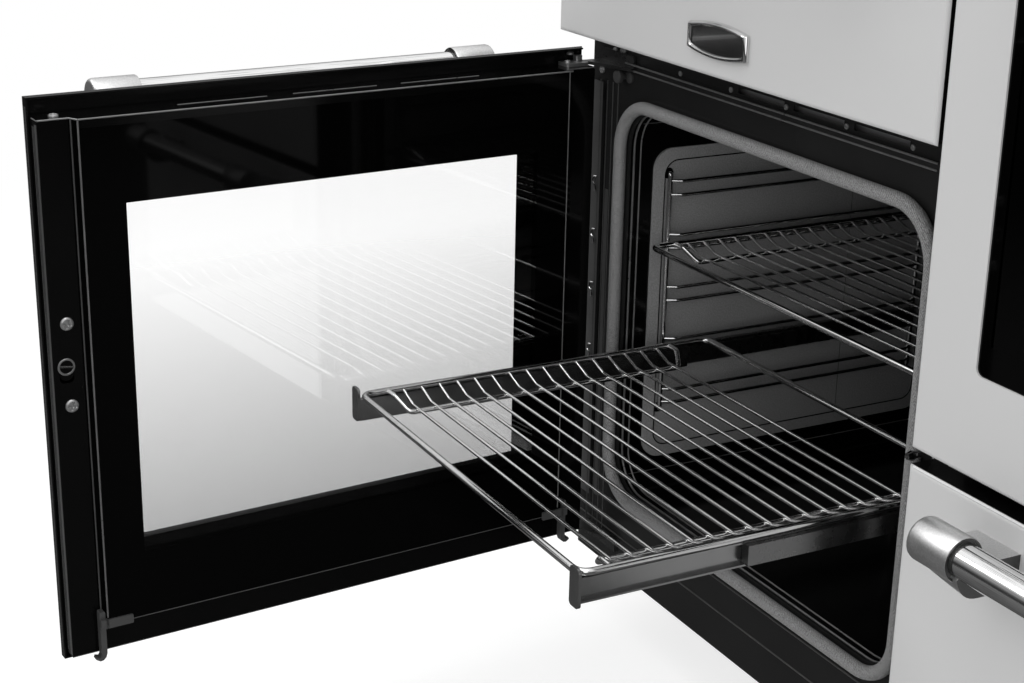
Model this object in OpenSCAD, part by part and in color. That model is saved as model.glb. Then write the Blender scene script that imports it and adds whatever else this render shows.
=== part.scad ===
// Electric range cooker with three ovens doors, a storage drawer and a ceramic hob.
// The main oven door stands open and its telescopic shelf is drawn out.
// Origin: middle of the footprint on the floor. +X right, +Y back, +Z up.

/* [Body] */
// Width across the side panels
body_w = 1000; // [980:5:1060]
// Depth from the door skins to the back
body_d = 600; // [585:5:650]
// Height of the underside above the floor
stand_h = 70; // [60:1:90]
// Thickness of the pressed sheet steel
sheet_t = 2; // [1.6:0.1:2.4]
// Width of a folded flange
flange_w = 18; // [14:1:22]
// Door edge to the outside of the body
side_gap = 3.5; // [3:0.5:6]
// Distance of the front feet behind the door skins
foot_setback = 165; // [150:5:200]
// Distance of the feet from the sides
foot_inset = 60; // [50:5:90]
// Diameter of a levelling foot
foot_d = 46; // [36:1:56]
// Diameter of a levelling foot's screw
foot_screw_d = 12; // [10:1:14]

/* [Door layout] */
// Width of the doors on the left
left_w = 530; // [515:5:545]
// Gap between the two columns of doors
column_gap = 5; // [4:0.5:7]
// Lower edge of the doors above the body's underside
door_low = 25; // [20:1:32]
// Height of the main oven door
main_door_h = 493.5; // [485:0.5:520]
// Air gap above the main oven door
vent_gap = 14.5; // [14:0.5:18]
// Height of the grill door
grill_door_h = 185; // [180:1:200]
// Gap under the control panel
panel_gap = 5; // [4:0.5:8]
// Height of the control panel
panel_h = 90; // [86:1:105]
// Height of the hob frame
rim_h = 17; // [15:0.5:22]
// Height of the drawer front
drawer_h = 275; // [260:5:290]
// Air gap above the drawer front
drawer_gap = 13; // [10:0.5:16]

/* [Doors] */
// Thickness of a closed door at its glass
door_t = 38.5; // [37:0.5:42]
// Inner glass of a door to its edge behind the tray's raised rim
tray_step = 9; // [8:0.5:11]
// Gap between a closed door and the front frame
seal_gap = 2.5; // [2:0.25:4]
// Sheet of a door skin and of a door tray
skin_t = 1.5; // [1.2:0.1:1.8]
// Radius of a skin's rolled edge
skin_r = 4; // [3:0.5:6]
// Depth of a skin's folded edge
skin_lip = 12; // [10:0.5:14]
// Side of a skin to the side of its tray
tray_in = 2; // [1.9:0.1:3]
// Bottom of a skin to the bottom of its tray
tray_low = 9; // [7:0.5:11]
// Top of a skin to the top of its tray
tray_top = 15; // [13:0.5:17]
// Side of a skin to the inner glass
pack_in = 32; // [28:1:36]
// Bottom of a skin to the inner glass
pack_low = 37; // [32:1:40]
// Top of a door's tray to the top of its inner glass
pane_drop = 7.5; // [5:0.5:10]
// Width of the raised edge that carries the inner glass
pack_rim = 12; // [9:1:16]
// Thickness of the inner glass
pane_t = 4; // [3:0.5:5]
// Side of a skin to its window
window_in = 58; // [54:1:66]
// Bottom of a skin to its window
window_low = 75; // [70:1:85]
// Top of a skin to its window
window_top = 63.5; // [58:0.5:80]
// Corner radius of a window
window_r = 6; // [3:1:12]
// How far the main oven door stands open, in degrees
open_angle = 85.6; // [84.5:0.1:87]

/* [Hinges] */
// Side of a door to its hinge pin
hinge_in = 13.6; // [12.5:0.1:15]
// Front of a door to its hinge pin
hinge_back = 5; // [4.6:0.1:5.4]
// Diameter of a hinge pin
pin_d = 5; // [4:0.5:5]
// Length of a hinge pin in its door
pin_len = 12; // [8:1:14]
// Plate of a hinge bracket
hinge_t = 3; // [2.5:0.25:3.5]
// Reach of a hinge bracket along the frame
hinge_reach = 60; // [45:1:70]
// Pivot of the grill door above and behind its lower edge
drop_pivot = 10; // [9:0.5:11]
// Bottom of the grill door to the main door's catch
catch_drop = 236.5; // [230:0.5:245]
// Clearance between parts that move on each other
slide_gap = 0.3; // [0.25:0.05:0.4]

/* [Handles] */
// Diameter of a handle's bar
bar_d = 25.5; // [22:0.5:27]
// Diameter of a handle's end cap
cap_d = 33; // [30:0.5:36]
// Length of a handle's end cap
cap_len = 41; // [38:1:48]
// Front of a door to the axis of its handle
handle_off = 46; // [42:1:52]
// Side of a door to the end of its handle, left column
handle_in = 71.5; // [66:0.5:76]
// Side of a door to the end of its handle, right column
right_handle_in = 74; // [68:1:80]
// Top of a door to the axis of its handle
handle_drop = 17; // [16:0.5:24]
// Width of a handle's foot
foot_w = 42; // [34:1:44]
// Height of a handle's foot
foot_h = 25; // [22:1:28]
// Axis of a handle down to the top of its foot
foot_dip = 3; // [0:0.5:6]
// Depth of the dark ring where the bar enters its cap
ring_deep = 2; // [1:0.5:4]

/* [Main oven] */
// Width of a door to the width inside its oven
oven_trim_w = 98; // [94:1:106]
// Height of the main oven door to the height inside the oven
oven_trim_h = 103.5; // [97.5:0.5:109.5]
// Depth of the body to the depth inside an oven
oven_trim_d = 185; // [170:5:195]
// Middle of the left doors to the middle of the main oven
oven_shift = 15; // [11:1:19]
// Bottom of the grill door to the main oven's ceiling
cavity_drop = 62; // [60:0.5:66]
// Corner radius of an oven
cavity_r = 20; // [14:1:30]
// Diameter of the door seal
seal_d = 12; // [10:0.5:13]
// Width over the main oven's seal beyond the oven's own width
seal_over_w = 20; // [16:1:24]
// Height over the main oven's seal beyond the oven's own height
seal_over_h = 12; // [8:1:18]
// Corner radius over the seal
seal_r = 50; // [44:1:56]
// Bottom of the grill door to the top of the seal
seal_drop = 52; // [49:0.5:55]
// Seal to the edge of the opening inside it
seal_edge = 1; // [0.5:0.5:2]
// Width of an oven's front flange
oven_flange = 14; // [11:1:18]

/* [Oven furniture] */
// Sheet of a side liner
liner_t = 1.5; // [1:0.1:1.8]
// Mouth of the oven to the front of a liner
liner_front = 27; // [22:1:34]
// Back of a liner to the back of the oven
liner_back = 38; // [28:1:50]
// Floor of the oven to the lower edge of a liner
liner_low = 32; // [26:1:40]
// Top of a liner below the oven's ceiling
liner_drop = 44; // [40:1:50]
// Width of a liner's raised border
liner_rim = 12; // [8:1:16]
// Height of a liner's raised border
liner_step = 1.2; // [0.8:0.1:1.6]
// Corner radius of a liner
liner_r = 20; // [14:1:26]
// Diameter of the hole where a rack hooks in
hook_hole_d = 11; // [9:0.5:13]
// Wire of a rack's uprights
upright_d = 5; // [4:0.5:5.5]
// Wire of a rack's levels
level_d = 4; // [3:0.5:4.5]
// Oven wall to the middle of a level's wire
level_reach = 10; // [9.5:0.1:11]
// Mouth of the oven to a rack's front upright
rack_front = 44; // [40:1:50]
// Back of the oven to a rack's rear upright
rack_back = 61; // [53:1:76]
// Oven ceiling to the top wire of the first level
level_drop = 75.3; // [72:0.1:80]
// Number of shelf levels
level_count = 5; // [5:1:5]
// Oven floor to the top wire of the lowest level
level_low = 104.3; // [100:0.1:112]
// Distance between the two wires of a level
level_gap = 13.4; // [12.5:0.1:14.5]

/* [Shelves] */
// Wire of a shelf's frame
shelf_d = 6; // [5:0.5:6.5]
// Cross wires of a shelf
cross_d = 3; // [2.5:0.25:4]
// Depth of the oven to the depth that a shelf's cross wires cover
cross_trim = 148; // [141:1:158]
// Number of cross wires
cross_count = 16; // [12:1:17]
// Front of a shelf to its first cross wire
cross_first = 40; // [34:1:48]
// How far the cross wires dip
cross_dip = 8; // [7:0.5:9]
// Side of a shelf to the wire under its cross wires
dip_in = 31; // [26:1:34]
// Corner radius of a shelf's frame
shelf_r = 12; // [8:1:18]
// Depth of the oven to the depth of the telescopic shelf
pull_shelf_trim = 49; // [45:1:65]
// Oven wall to the middle of the telescopic shelf's frame wire
pull_side = 20; // [19:0.25:21]
// How far the telescopic shelf is drawn out
pull_out = 287; // [270:1:290]
// Oven wall to the middle of the upper shelf's frame wire
upper_side = 11; // [10:0.25:12]
// Back of the oven to the upper shelf
upper_back = 41; // [37:1:53]
// Mouth of the oven to the front of the upper shelf
upper_front = 22; // [16:1:26]
// How far the upper shelf can be drawn
upper_travel = 200; // [150:10:220]

/* [Runners] */
// Height of a telescopic runner
runner_h = 20; // [18:0.5:22]
// Width of a telescopic runner
runner_w = 12; // [11:0.25:12.5]
// Sheet of a telescopic runner
runner_t = 1.5; // [1.2:0.1:1.8]
// Depth of the oven to the length of a telescopic runner
runner_trim = 70; // [65:5:80]
// Mouth of the oven to the front of a fixed runner
runner_front = 3; // [2.5:0.5:5]
// Width of the tab at a runner's front
tab_w = 13; // [11:0.5:14]
// Height of the tab at a runner's front
tab_h = 31; // [26:1:34]
// Thickness of the tab at a runner's front
tab_t = 2.5; // [2:0.25:3]

/* [Fan and elements] */
// Side of the oven to the fan cover
cover_side = 66; // [56:1:76]
// Floor of the oven to the fan cover
cover_low = 50; // [40:1:60]
// Depth of the fan cover
cover_d = 28; // [26:1:32]
// Diameter of the fan
fan_d = 150; // [130:5:158]
// Number of fan blades
blade_count = 9; // [6:1:12]
// Depth of a fan blade
blade_w = 16; // [12:1:18]
// Diameter of the fan shaft
shaft_d = 8; // [7:0.5:9]
// Side of the fan cover to the ring element
ring_side = 20; // [15:1:35]
// Diameter of an element's tube
element_d = 7; // [6:0.25:8]
// Diameter of the fan motor
motor_d = 84; // [74:2:94]
// Length of the fan motor
motor_len = 60; // [50:2:66]
// Diameter of an oven lamp's glass
lamp_d = 40; // [34:1:44]

/* [Right oven] */
// Height of the right oven door to the height inside the oven
right_trim_h = 100; // [95:5:115]
// Width of the flattened seal on a closed door
pressed_w = 12; // [10:0.5:14]
// Depth of the groove that holds the flattened seal
groove_deep = 4; // [3:0.5:5]
// Number of shelf levels in the right oven
right_levels = 4; // [4:1:4]

/* [Grill] */
// Height of the grill door to the height inside the grill
grill_trim_h = 73; // [69:1:79]
// Depth of the body to the depth inside the grill
grill_trim_d = 240; // [220:5:260]
// Side of the grill to the side of its pan
pan_side = 26; // [20:1:36]
// Depth of the grill to the depth of its pan
pan_trim_d = 60; // [40:5:80]
// Number of passes of the grill element
grill_passes = 7; // [5:2:9]

/* [Drawer] */
// Height of the drawer front to the height of its box
box_trim_h = 115; // [95:5:135]
// Depth of the body to the depth of the drawer box
box_trim_d = 130; // [120:10:160]
// Width of a drawer rail
rail_w = 14; // [12:1:16]
// Height of a drawer rail's top above the base
rail_h = 38; // [34:1:42]
// How far the drawer opens
drawer_travel = 350; // [300:10:380]

/* [Hob] */
// Side of the body to the hob glass
glass_in = 20; // [16:1:30]
// Front of the body to the hob glass
glass_front = 28; // [24:1:36]
// Back of the body to the hob glass
glass_back = 62; // [58:1:70]
// Thickness of the hob glass
glass_t = 4; // [3:0.5:6]
// Corner radius of the hob glass
glass_r = 10; // [6:1:16]
// Width of the ledge that carries the glass
glass_ledge = 10; // [8:1:12]
// Diameter of a small radiant heater
heater_small = 165; // [145:5:180]
// Diameter of a large radiant heater
heater_large = 230; // [210:5:235]
// Height of a radiant heater
heater_h = 26; // [22:1:28]
// Height of the rear vent trim
vent_h = 22; // [16:1:30]
// Depth of the rear vent trim
vent_d = 44; // [38:1:50]

/* [Controls] */
// Diameter of a knob
knob_d = 46; // [40:1:50]
// Depth of a knob
knob_h = 26; // [20:1:30]
// Side of the body to the outer knobs
knob_side = 81; // [76:1:90]
// Distance between the knobs on either side of the clock
knob_bay = 313; // [300:1:325]
// Diameter of a knob's spindle
spindle_d = 8; // [6:0.5:9]
// Length of a spindle behind the knob
spindle_len = 24; // [18:1:30]
// Width of the clock
clock_w = 120; // [110:2:124]
// Height of the clock
clock_h = 44; // [38:1:50]
// Depth of the clock behind the panel
clock_d = 24; // [20:1:30]
// Diameter of a clock button
button_d = 9; // [8:0.5:10]
// Travel of a clock button
button_travel = 1.5; // [1:0.25:2]

/* [Hidden] */
$fn = 48;
// Overrun of every cut, so that no face is shared
cut = 1;
white_steel = "gainsboro";
black_enamel = [0.07, 0.07, 0.08];
chrome_wire = "silver";

// Places of the front, from the layout
front_y = -body_d / 2;
frame_y = front_y + door_t + seal_gap;
frame_back = frame_y + sheet_t;
back_y = body_d / 2;
left_x = -body_w / 2 + side_gap;
mid_x = left_x + left_w;
right_x = mid_x + column_gap;
right_w = body_w / 2 - side_gap - right_x;
door_z = stand_h + door_low;
grill_z = door_z + main_door_h + vent_gap;
panel_z = grill_z + grill_door_h + panel_gap;
hob_z = panel_z + panel_h;
top_z = hob_z + rim_h;
right_door_z = door_z + drawer_h + drawer_gap;
right_door_h = grill_z + grill_door_h - right_door_z;

// Main oven
tray_t = door_t - tray_step;
cavity_w = left_w - oven_trim_w;
cavity_h = main_door_h - oven_trim_h;
cavity_d = body_d - oven_trim_d;
seal_w = cavity_w + seal_over_w;
seal_h = cavity_h + seal_over_h;
liner_d = cavity_d - liner_front - liner_back;
liner_h = cavity_h - liner_drop - liner_low;
rack_d = cavity_d - rack_front - rack_back;
level_pitch = (cavity_h - level_drop - level_low) / (level_count - 1);
cross_pitch = (cavity_d - cross_trim) / (cross_count - 1);
pull_shelf_w = cavity_w - 2 * pull_side;
pull_shelf_d = cavity_d - pull_shelf_trim;
upper_shelf_w = cavity_w - 2 * upper_side;
upper_shelf_d = cavity_d - upper_front - upper_back;
runner_len = cavity_d - runner_trim;
cover_w = cavity_w - 2 * cover_side;
cover_h = cavity_h - 2 * cover_low;
ring_d = min(cover_w, cover_h) - 2 * ring_side;
cav_x = left_x + left_w / 2 + oven_shift;
cav_top = grill_z - cavity_drop;
cav_z = cav_top - cavity_h;
mouth_y = frame_back;
cav_back = mouth_y + cavity_d;
seal_top = grill_z - seal_drop;
seal_in = seal_d + seal_edge;
open_w = seal_w - 2 * seal_in;
open_h = seal_h - 2 * seal_in;
open_z = seal_top - seal_h + seal_in;
open_r = seal_r - seal_in;
wall_x = cavity_w / 2;
pair_z = cav_top - level_drop;

// Right oven
right_cavity_w = right_w - oven_trim_w;
right_cavity_h = right_door_h - right_trim_h;
rcav_x = right_x + right_w / 2;
rcav_z = right_door_z + (right_door_h - right_cavity_h) / 2;
ropen_w = right_cavity_w - 2 * seal_edge;
ropen_h = right_cavity_h - 2 * seal_edge;

// Grill
grill_h = grill_door_h - grill_trim_h;
grill_d = body_d - grill_trim_d;
pan_w = cavity_w - 2 * pan_side;
pan_d = grill_d - pan_trim_d;
gcav_x = left_x + left_w / 2;
gcav_z = grill_z + (grill_door_h - grill_h) / 2;

// Storage drawer
box_h = drawer_h - box_trim_h;
box_d = body_d - box_trim_d;
bay_w = right_w - 4 * flange_w;
bay_x = right_x + 2 * flange_w;
bay_h = drawer_h - 2 * skin_lip;
bay_z = door_z + skin_lip;
box_w = bay_w - 2 * flange_w;
box_x = bay_x + flange_w;
box_z = stand_h + sheet_t + rail_h + slide_gap;

// A rounded rectangle with its corner at the origin
module rounded_rect(w, h, r) {
    translate([r, 0]) square([w - 2 * r, h]);
    translate([0, r]) square([w, h - 2 * r]);
    for (x = [r, w - r])
        for (y = [r, h - r])
            translate([x, y]) circle(r);
}

// A flat outline, drawn across and up, as a plate that stands at depth y
module upright_plate(x, y, z, t) {
    translate([x, y + t, z]) rotate([90, 0, 0]) linear_extrude(t) children();
}

// A block whose four front edges are rounded, front at y = 0
module front_profile(w, d, r) {
    translate([0, r]) square([w, d - r]);
    translate([r, 0]) square([w - 2 * r, r]);
    for (x = [r, w - r])
        translate([x, r]) circle(r);
}
module slab(w, d, h, r) {
    intersection() {
        linear_extrude(h) front_profile(w, d, r);
        translate([w, 0, 0]) rotate([0, -90, 0]) linear_extrude(w) front_profile(h, d, r);
    }
}

// A straight round wire between two points
module wire(a, b, d) {
    v = b - a;
    run = norm(v);
    translate(a) rotate([0, acos(v[2] / run), atan2(v[1], v[0])]) cylinder(h = run, d = d);
}

// A wire through several points: its pieces lap at each bend, every other one a shade thinner
thin_share = 0.94;
thin_lap_share = 0.2;
module wire_path(points, d, lap_share) {
    last = len(points) - 2;
    for (i = [0 : last]) {
        thick = i % 2 == 1;
        v = points[i + 1] - points[i];
        lap = v / norm(v) * d * (thick ? lap_share : thin_lap_share);
        wire(i == 0 ? points[i] : points[i] - lap, i == last ? points[i + 1] : points[i + 1] + lap,
            thick ? d : d * thin_share);
    }
}

// A closed rounded frame that lies flat, from a profile drawn about its middle line
module flat_ring(w, d, r) {
    for (k = [0, 1]) {
        translate([r, k * d, 0]) rotate([90, 0, 90]) linear_extrude(w - 2 * r)
            rotate(k * 180) children();
        translate([k * w, r, 0]) rotate([90, 0, 180]) linear_extrude(d - 2 * r)
            rotate([0, k * 180, 0]) children();
    }
    translate([r, r, 0]) rotate(180) rotate_extrude(angle = 90) translate([r, 0]) children();
    translate([w - r, r, 0]) rotate(270) rotate_extrude(angle = 90) translate([r, 0]) children();
    translate([w - r, d - r, 0]) rotate_extrude(angle = 90) translate([r, 0]) children();
    translate([r, d - r, 0]) rotate(90) rotate_extrude(angle = 90) translate([r, 0]) children();
}

// A box of sheet, open at the front, with a flange round its mouth
module oven_shell(w, h, d, r, lip) {
    difference() {
        union() {
            upright_plate(-w / 2 - sheet_t, 0, -sheet_t, d + sheet_t)
                rounded_rect(w + 2 * sheet_t, h + 2 * sheet_t, r + sheet_t);
            upright_plate(-w / 2 - lip, 0, -lip, sheet_t)
                rounded_rect(w + 2 * lip, h + 2 * lip, r + lip);
        }
        upright_plate(-w / 2, -cut, 0, d + cut) rounded_rect(w, h, r);
    }
}

// Body

module side_panel(dir) {
    inner = body_w / 2 - sheet_t;
    depth = back_y - sheet_t - frame_back;
    color(white_steel) mirror([dir, 0, 0]) {
        translate([inner, frame_back, stand_h]) cube([sheet_t, depth, hob_z - stand_h]);
        translate([body_w / 2 - flange_w, frame_back, stand_h + sheet_t])
            cube([flange_w, sheet_t, hob_z - stand_h - sheet_t]);
        translate([body_w / 2 - flange_w, back_y - 2 * sheet_t, stand_h + sheet_t])
            cube([flange_w, sheet_t, hob_z - stand_h - sheet_t]);
    }
}
module left_side_panel() { side_panel(1); }
module right_side_panel() { side_panel(0); }

fixing_pitch = body_w * 0.6;
fixing_d = 8;
fixing_z = hob_z - 2 * flange_w;
louvre_count = 9;
louvre_w = body_w * 0.2;
louvre_h = 5;
module rear_panel() {
    color("silver") difference() {
        translate([-body_w / 2, back_y - sheet_t, stand_h]) cube([body_w, sheet_t, hob_z - stand_h]);
        for (dir = [-1, 1])
            translate([dir * fixing_pitch / 2, back_y + cut, fixing_z]) rotate([90, 0, 0])
                cylinder(h = sheet_t + 2 * cut, d = fixing_d);
        for (i = [0 : louvre_count - 1])
            translate([cav_x - louvre_w / 2, back_y - sheet_t - cut, cav_z + (2 * i + 4) * 2 * louvre_h])
                cube([louvre_w, sheet_t + 2 * cut, louvre_h]);
    }
}

foot_places = [for (x = [-1, 1]) for (y = [front_y + foot_setback, back_y - foot_inset])
    [x * (body_w / 2 - foot_inset), y]];
module base_tray() {
    inner = body_w - 2 * sheet_t;
    depth = back_y - 2 * sheet_t - frame_back;
    color("silver") difference() {
        union() {
            translate([-inner / 2, frame_back, stand_h])
                cube([inner, back_y - sheet_t - frame_back, sheet_t]);
            for (k = [0, 1])
                translate([-inner / 2 + flange_w, frame_back + sheet_t + k * (depth - 2 * sheet_t), stand_h])
                    cube([inner - 2 * flange_w, sheet_t, flange_w]);
        }
        for (p = foot_places)
            translate([p[0], p[1], stand_h - cut]) cylinder(h = sheet_t + 2 * cut, d = foot_screw_d);
    }
}

nut_h = foot_screw_d / 2;
pad_h = foot_d / 4;
module levelling_feet() {
    color("dimgray") for (p = foot_places) translate([p[0], p[1], 0]) {
        rotate_extrude() polygon([[0, 0], [foot_d / 2, 0], [foot_d / 2, pad_h / 2], [foot_screw_d, pad_h],
            [foot_screw_d / 2, pad_h], [foot_screw_d / 2, stand_h - nut_h], [foot_screw_d, stand_h - nut_h],
            [foot_screw_d, stand_h], [0, stand_h]]);
        cylinder(h = stand_h + sheet_t, d = foot_screw_d - 2 * slide_gap);
    }
}

// Front frame, with the four openings, the vent slots and the pressed ribs
slot_count = 3;
slot_w = 66;
slot_h = 5;
slot_pitch = 78;
slot_side = 73;
slot_first = left_w - slot_side - slot_w - (slot_count - 1) * slot_pitch;
rib_h = 6;
rib_out = 3;
rib_drop = 23;
strip_w = 23;
// The right oven's opening grown by a margin, as a plate that stands at depth y
module around_right_opening(margin, y, t) {
    upright_plate(rcav_x - ropen_w / 2 - margin, y, rcav_z + seal_edge - margin, t)
        rounded_rect(ropen_w + 2 * margin, ropen_h + 2 * margin, cavity_r + margin);
}
module front_frame() {
    color(black_enamel) {
        difference() {
            translate([-body_w / 2, frame_y, stand_h]) cube([body_w, sheet_t, hob_z - stand_h]);
            upright_plate(cav_x - open_w / 2, frame_y - cut, open_z, sheet_t + 2 * cut)
                rounded_rect(open_w, open_h, open_r);
            around_right_opening(pressed_w, frame_y - cut, sheet_t + 2 * cut);
            upright_plate(gcav_x - cavity_w / 2, frame_y - cut, gcav_z, sheet_t + 2 * cut)
                rounded_rect(cavity_w, grill_h, cavity_r);
            upright_plate(bay_x, frame_y - cut, bay_z, sheet_t + 2 * cut)
                rounded_rect(bay_w, bay_h, cavity_r);
            for (i = [0 : slot_count - 1])
                translate([left_x + slot_first + i * slot_pitch, frame_y - cut, grill_z - vent_gap - slot_h])
                    cube([slot_w, sheet_t + 2 * cut, slot_h]);
        }
        // The recessed channel that holds the right oven's seal
        difference() {
            around_right_opening(pressed_w + sheet_t, frame_back, groove_deep);
            around_right_opening(pressed_w, frame_back - cut, groove_deep - sheet_t + cut);
            around_right_opening(0, frame_back - cut, groove_deep + 2 * cut);
        }
        // Rib under the vent slots and the raised strip beside the hinge
        translate([left_x + hinge_in + hinge_reach + rib_h, frame_y - rib_out, grill_z - rib_drop - rib_h])
            cube([left_w - hinge_in - hinge_reach - 3 * rib_h, rib_out, rib_h]);
        translate([-body_w / 2, frame_y - rib_out, door_z + tray_low + 2 * flange_w])
            cube([strip_w, rib_out, main_door_h - tray_top - tray_low - 4 * flange_w]);
    }
}

// Hob

glass_w = body_w - 2 * glass_in;
glass_d = body_d - glass_front - glass_back;
module hob_frame() {
    color("silver") difference() {
        translate([-body_w / 2, front_y, hob_z]) slab_up(body_w, body_d, rim_h, skin_r);
        translate([-body_w / 2 + sheet_t, front_y + sheet_t, hob_z - cut])
            cube([body_w - 2 * sheet_t, body_d - 2 * sheet_t, rim_h - glass_t - sheet_t + cut]);
        translate([-glass_w / 2, front_y + glass_front, top_z - glass_t])
            linear_extrude(glass_t + cut) rounded_rect(glass_w, glass_d, glass_r);
        translate([-glass_w / 2 + glass_ledge, front_y + glass_front + glass_ledge, hob_z - cut])
            cube([glass_w - 2 * glass_ledge, glass_d - 2 * glass_ledge, rim_h + 2 * cut]);
    }
}
// A block whose four top edges are rounded
module slab_up(w, d, h, r) {
    translate([0, d, 0]) translate([0, 0, h]) rotate([-90, 0, 0]) mirror([0, 0, 1]) slab(w, h, d, r);
}
module hob_glass() {
    color([0.05, 0.05, 0.06])
        translate([-glass_w / 2 + slide_gap, front_y + glass_front + slide_gap, top_z - glass_t])
            linear_extrude(glass_t) rounded_rect(glass_w - 2 * slide_gap, glass_d - 2 * slide_gap, glass_r);
}
// Heater places as shares of the glass from its middle: across, back, size
heater_shares = [[-0.36, -0.22, 1], [-0.36, 0.25, 0], [0, 0, 1], [0.36, 0.25, 1], [0.36, -0.22, 0]];
module hob_heaters() {
    color("gray") for (s = heater_shares)
        translate([s[0] * glass_w, front_y + glass_front + glass_d / 2 + s[1] * glass_d,
            top_z - glass_t - heater_h]) {
            size = s[2] == 1 ? heater_large : heater_small;
            difference() {
                cylinder(h = heater_h, d = size);
                translate([0, 0, sheet_t]) cylinder(h = heater_h, d = size - 6 * sheet_t);
            }
            for (k = [0 : 3])
                rotate_extrude() translate([size * (k + 2) / 14, sheet_t / 2])
                    square([sheet_t, heater_h / 2]);
        }
}
vent_slots = 18;
module rear_vent() {
    slot = (body_w - 4 * flange_w) / vent_slots;
    color("silver") difference() {
        translate([-body_w / 2, back_y - vent_d, top_z]) slab(body_w, vent_d, vent_h, skin_r);
        translate([-body_w / 2 + sheet_t, back_y - vent_d + sheet_t, top_z - cut])
            cube([body_w - 2 * sheet_t, vent_d - 2 * sheet_t, vent_h - sheet_t + cut]);
        for (i = [0 : vent_slots - 1])
            translate([-body_w / 2 + 2 * flange_w + (i + 0.2) * slot, back_y - vent_d * 0.75, top_z])
                cube([slot * 0.6, vent_d / 2, vent_h + cut]);
    }
}

// Controls

panel_mid = panel_z + panel_h / 2;
knob_pitch = (body_w - 2 * knob_side - knob_bay) / 5;
knob_left = -body_w / 2 + knob_side;
knob_right = body_w / 2 - knob_side - 3 * knob_pitch;
knob_x = [for (i = [0 : 6]) i < 3 ? knob_left + i * knob_pitch : knob_right + (i - 3) * knob_pitch];
clock_x = (knob_x[2] + knob_x[3]) / 2;
button_gap = clock_w * 0.3;
module control_panel() {
    color(white_steel) difference() {
        translate([-body_w / 2, front_y, panel_z]) slab(body_w, frame_y - front_y, panel_h, skin_r);
        translate([-body_w / 2 + sheet_t, front_y + sheet_t, panel_z + sheet_t])
            cube([body_w - 2 * sheet_t, frame_y - front_y, panel_h - 2 * sheet_t]);
        for (x = knob_x)
            translate([x, front_y + sheet_t + cut, panel_mid]) rotate([90, 0, 0])
                cylinder(h = sheet_t + 2 * cut, d = spindle_d + 2 * slide_gap);
        upright_plate(clock_x - clock_w / 2, front_y - cut, panel_mid - clock_h / 2, sheet_t + 2 * cut)
            rounded_rect(clock_w, clock_h, skin_r);
    }
}
module clock_module() {
    bezel = skin_r;
    color("black") difference() {
        union() {
            upright_plate(clock_x - clock_w / 2, front_y, panel_mid - clock_h / 2, clock_d)
                rounded_rect(clock_w, clock_h, skin_r);
            upright_plate(clock_x - clock_w / 2 - bezel, front_y - sheet_t, panel_mid - clock_h / 2 - bezel,
                sheet_t) rounded_rect(clock_w + 2 * bezel, clock_h + 2 * bezel, 2 * skin_r);
        }
        upright_plate(clock_x - clock_w / 3, front_y - sheet_t - cut, panel_mid - clock_h / 8,
            sheet_t / 2 + cut) rounded_rect(clock_w * 2 / 3, clock_h / 2, skin_r / 2);
        for (dir = [-1, 1])
            translate([clock_x + dir * button_gap, front_y + button_d, panel_mid - clock_h / 3])
                rotate([90, 0, 0]) cylinder(h = button_d + sheet_t + cut, d = button_d + 2 * slide_gap);
    }
}
module clock_button(dir) {
    color("silver") translate([clock_x + dir * button_gap, front_y + button_d - button_travel - slide_gap,
        panel_mid - clock_h / 3]) rotate([90, 0, 0])
        rotate_extrude() polygon([[0, 0], [button_d / 2, 0], [button_d / 2, button_d + sheet_t],
            [button_d / 3, button_d + sheet_t + button_travel], [0, button_d + sheet_t + button_travel]]);
}
module clock_button_minus() { clock_button(-1); }
module clock_button_plus() { clock_button(1); }
module knob(i) {
    r = knob_d / 2;
    color("dimgray") translate([knob_x[i], front_y, panel_mid]) rotate([90, 0, 0]) {
        translate([0, 0, slide_gap]) difference() {
            rotate_extrude() polygon([[0, 0], [r, 0], [r, knob_h * 0.25], [r * 0.86, knob_h * 0.34],
                [r * 0.8, knob_h * 0.92], [r * 0.72, knob_h], [0, knob_h]]);
            for (dir = [-1, 1])
                translate([dir * r * 0.68 - r / 2 + dir * r / 2, -r, knob_h * 0.4]) cube([r, 2 * r, knob_h]);
        }
        translate([0, 0, -spindle_len]) cylinder(h = spindle_len + slide_gap, d = spindle_d);
    }
}
module knob_1() { knob(0); }
module knob_2() { knob(1); }
module knob_3() { knob(2); }
module knob_4() { knob(3); }
module knob_5() { knob(4); }
module knob_6() { knob(5); }
module knob_7() { knob(6); }

// Main oven

motor_x = cav_x;
motor_z = cav_z + cavity_h / 2;
lamp_x = cav_x + cavity_w / 2 - lamp_d;
lamp_z = cav_top - lamp_d;
lead_gap = element_d * 4;
lead_z = motor_z - ring_d / 2 + element_d / 4;
module main_cavity() {
    color(black_enamel) difference() {
        translate([cav_x, mouth_y, cav_z]) oven_shell(cavity_w, cavity_h, cavity_d, cavity_r, oven_flange);
        translate([motor_x, cav_back - cut, motor_z]) rotate([-90, 0, 0])
            cylinder(h = sheet_t + 2 * cut, d = shaft_d * 2);
        for (dir = [-1, 1])
            translate([motor_x + dir * lead_gap / 2, cav_back - cut, lead_z]) rotate([-90, 0, 0])
                cylinder(h = sheet_t + 2 * cut, d = element_d + 2 * slide_gap);
        translate([lamp_x, cav_back - cut, lamp_z]) rotate([-90, 0, 0])
            cylinder(h = sheet_t + 2 * cut, d = lamp_d);
    }
}
module main_gasket() {
    r = seal_d / 2;
    color("gray") translate([cav_x - seal_w / 2 + r, frame_y - r, seal_top - r]) rotate([-90, 0, 0])
        flat_ring(seal_w - seal_d, seal_h - seal_d, seal_r - r) circle(r);
}
hook_z = [pair_z + level_gap / 2, pair_z - (level_count - 1) * level_pitch - 1.5 * level_gap];
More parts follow.
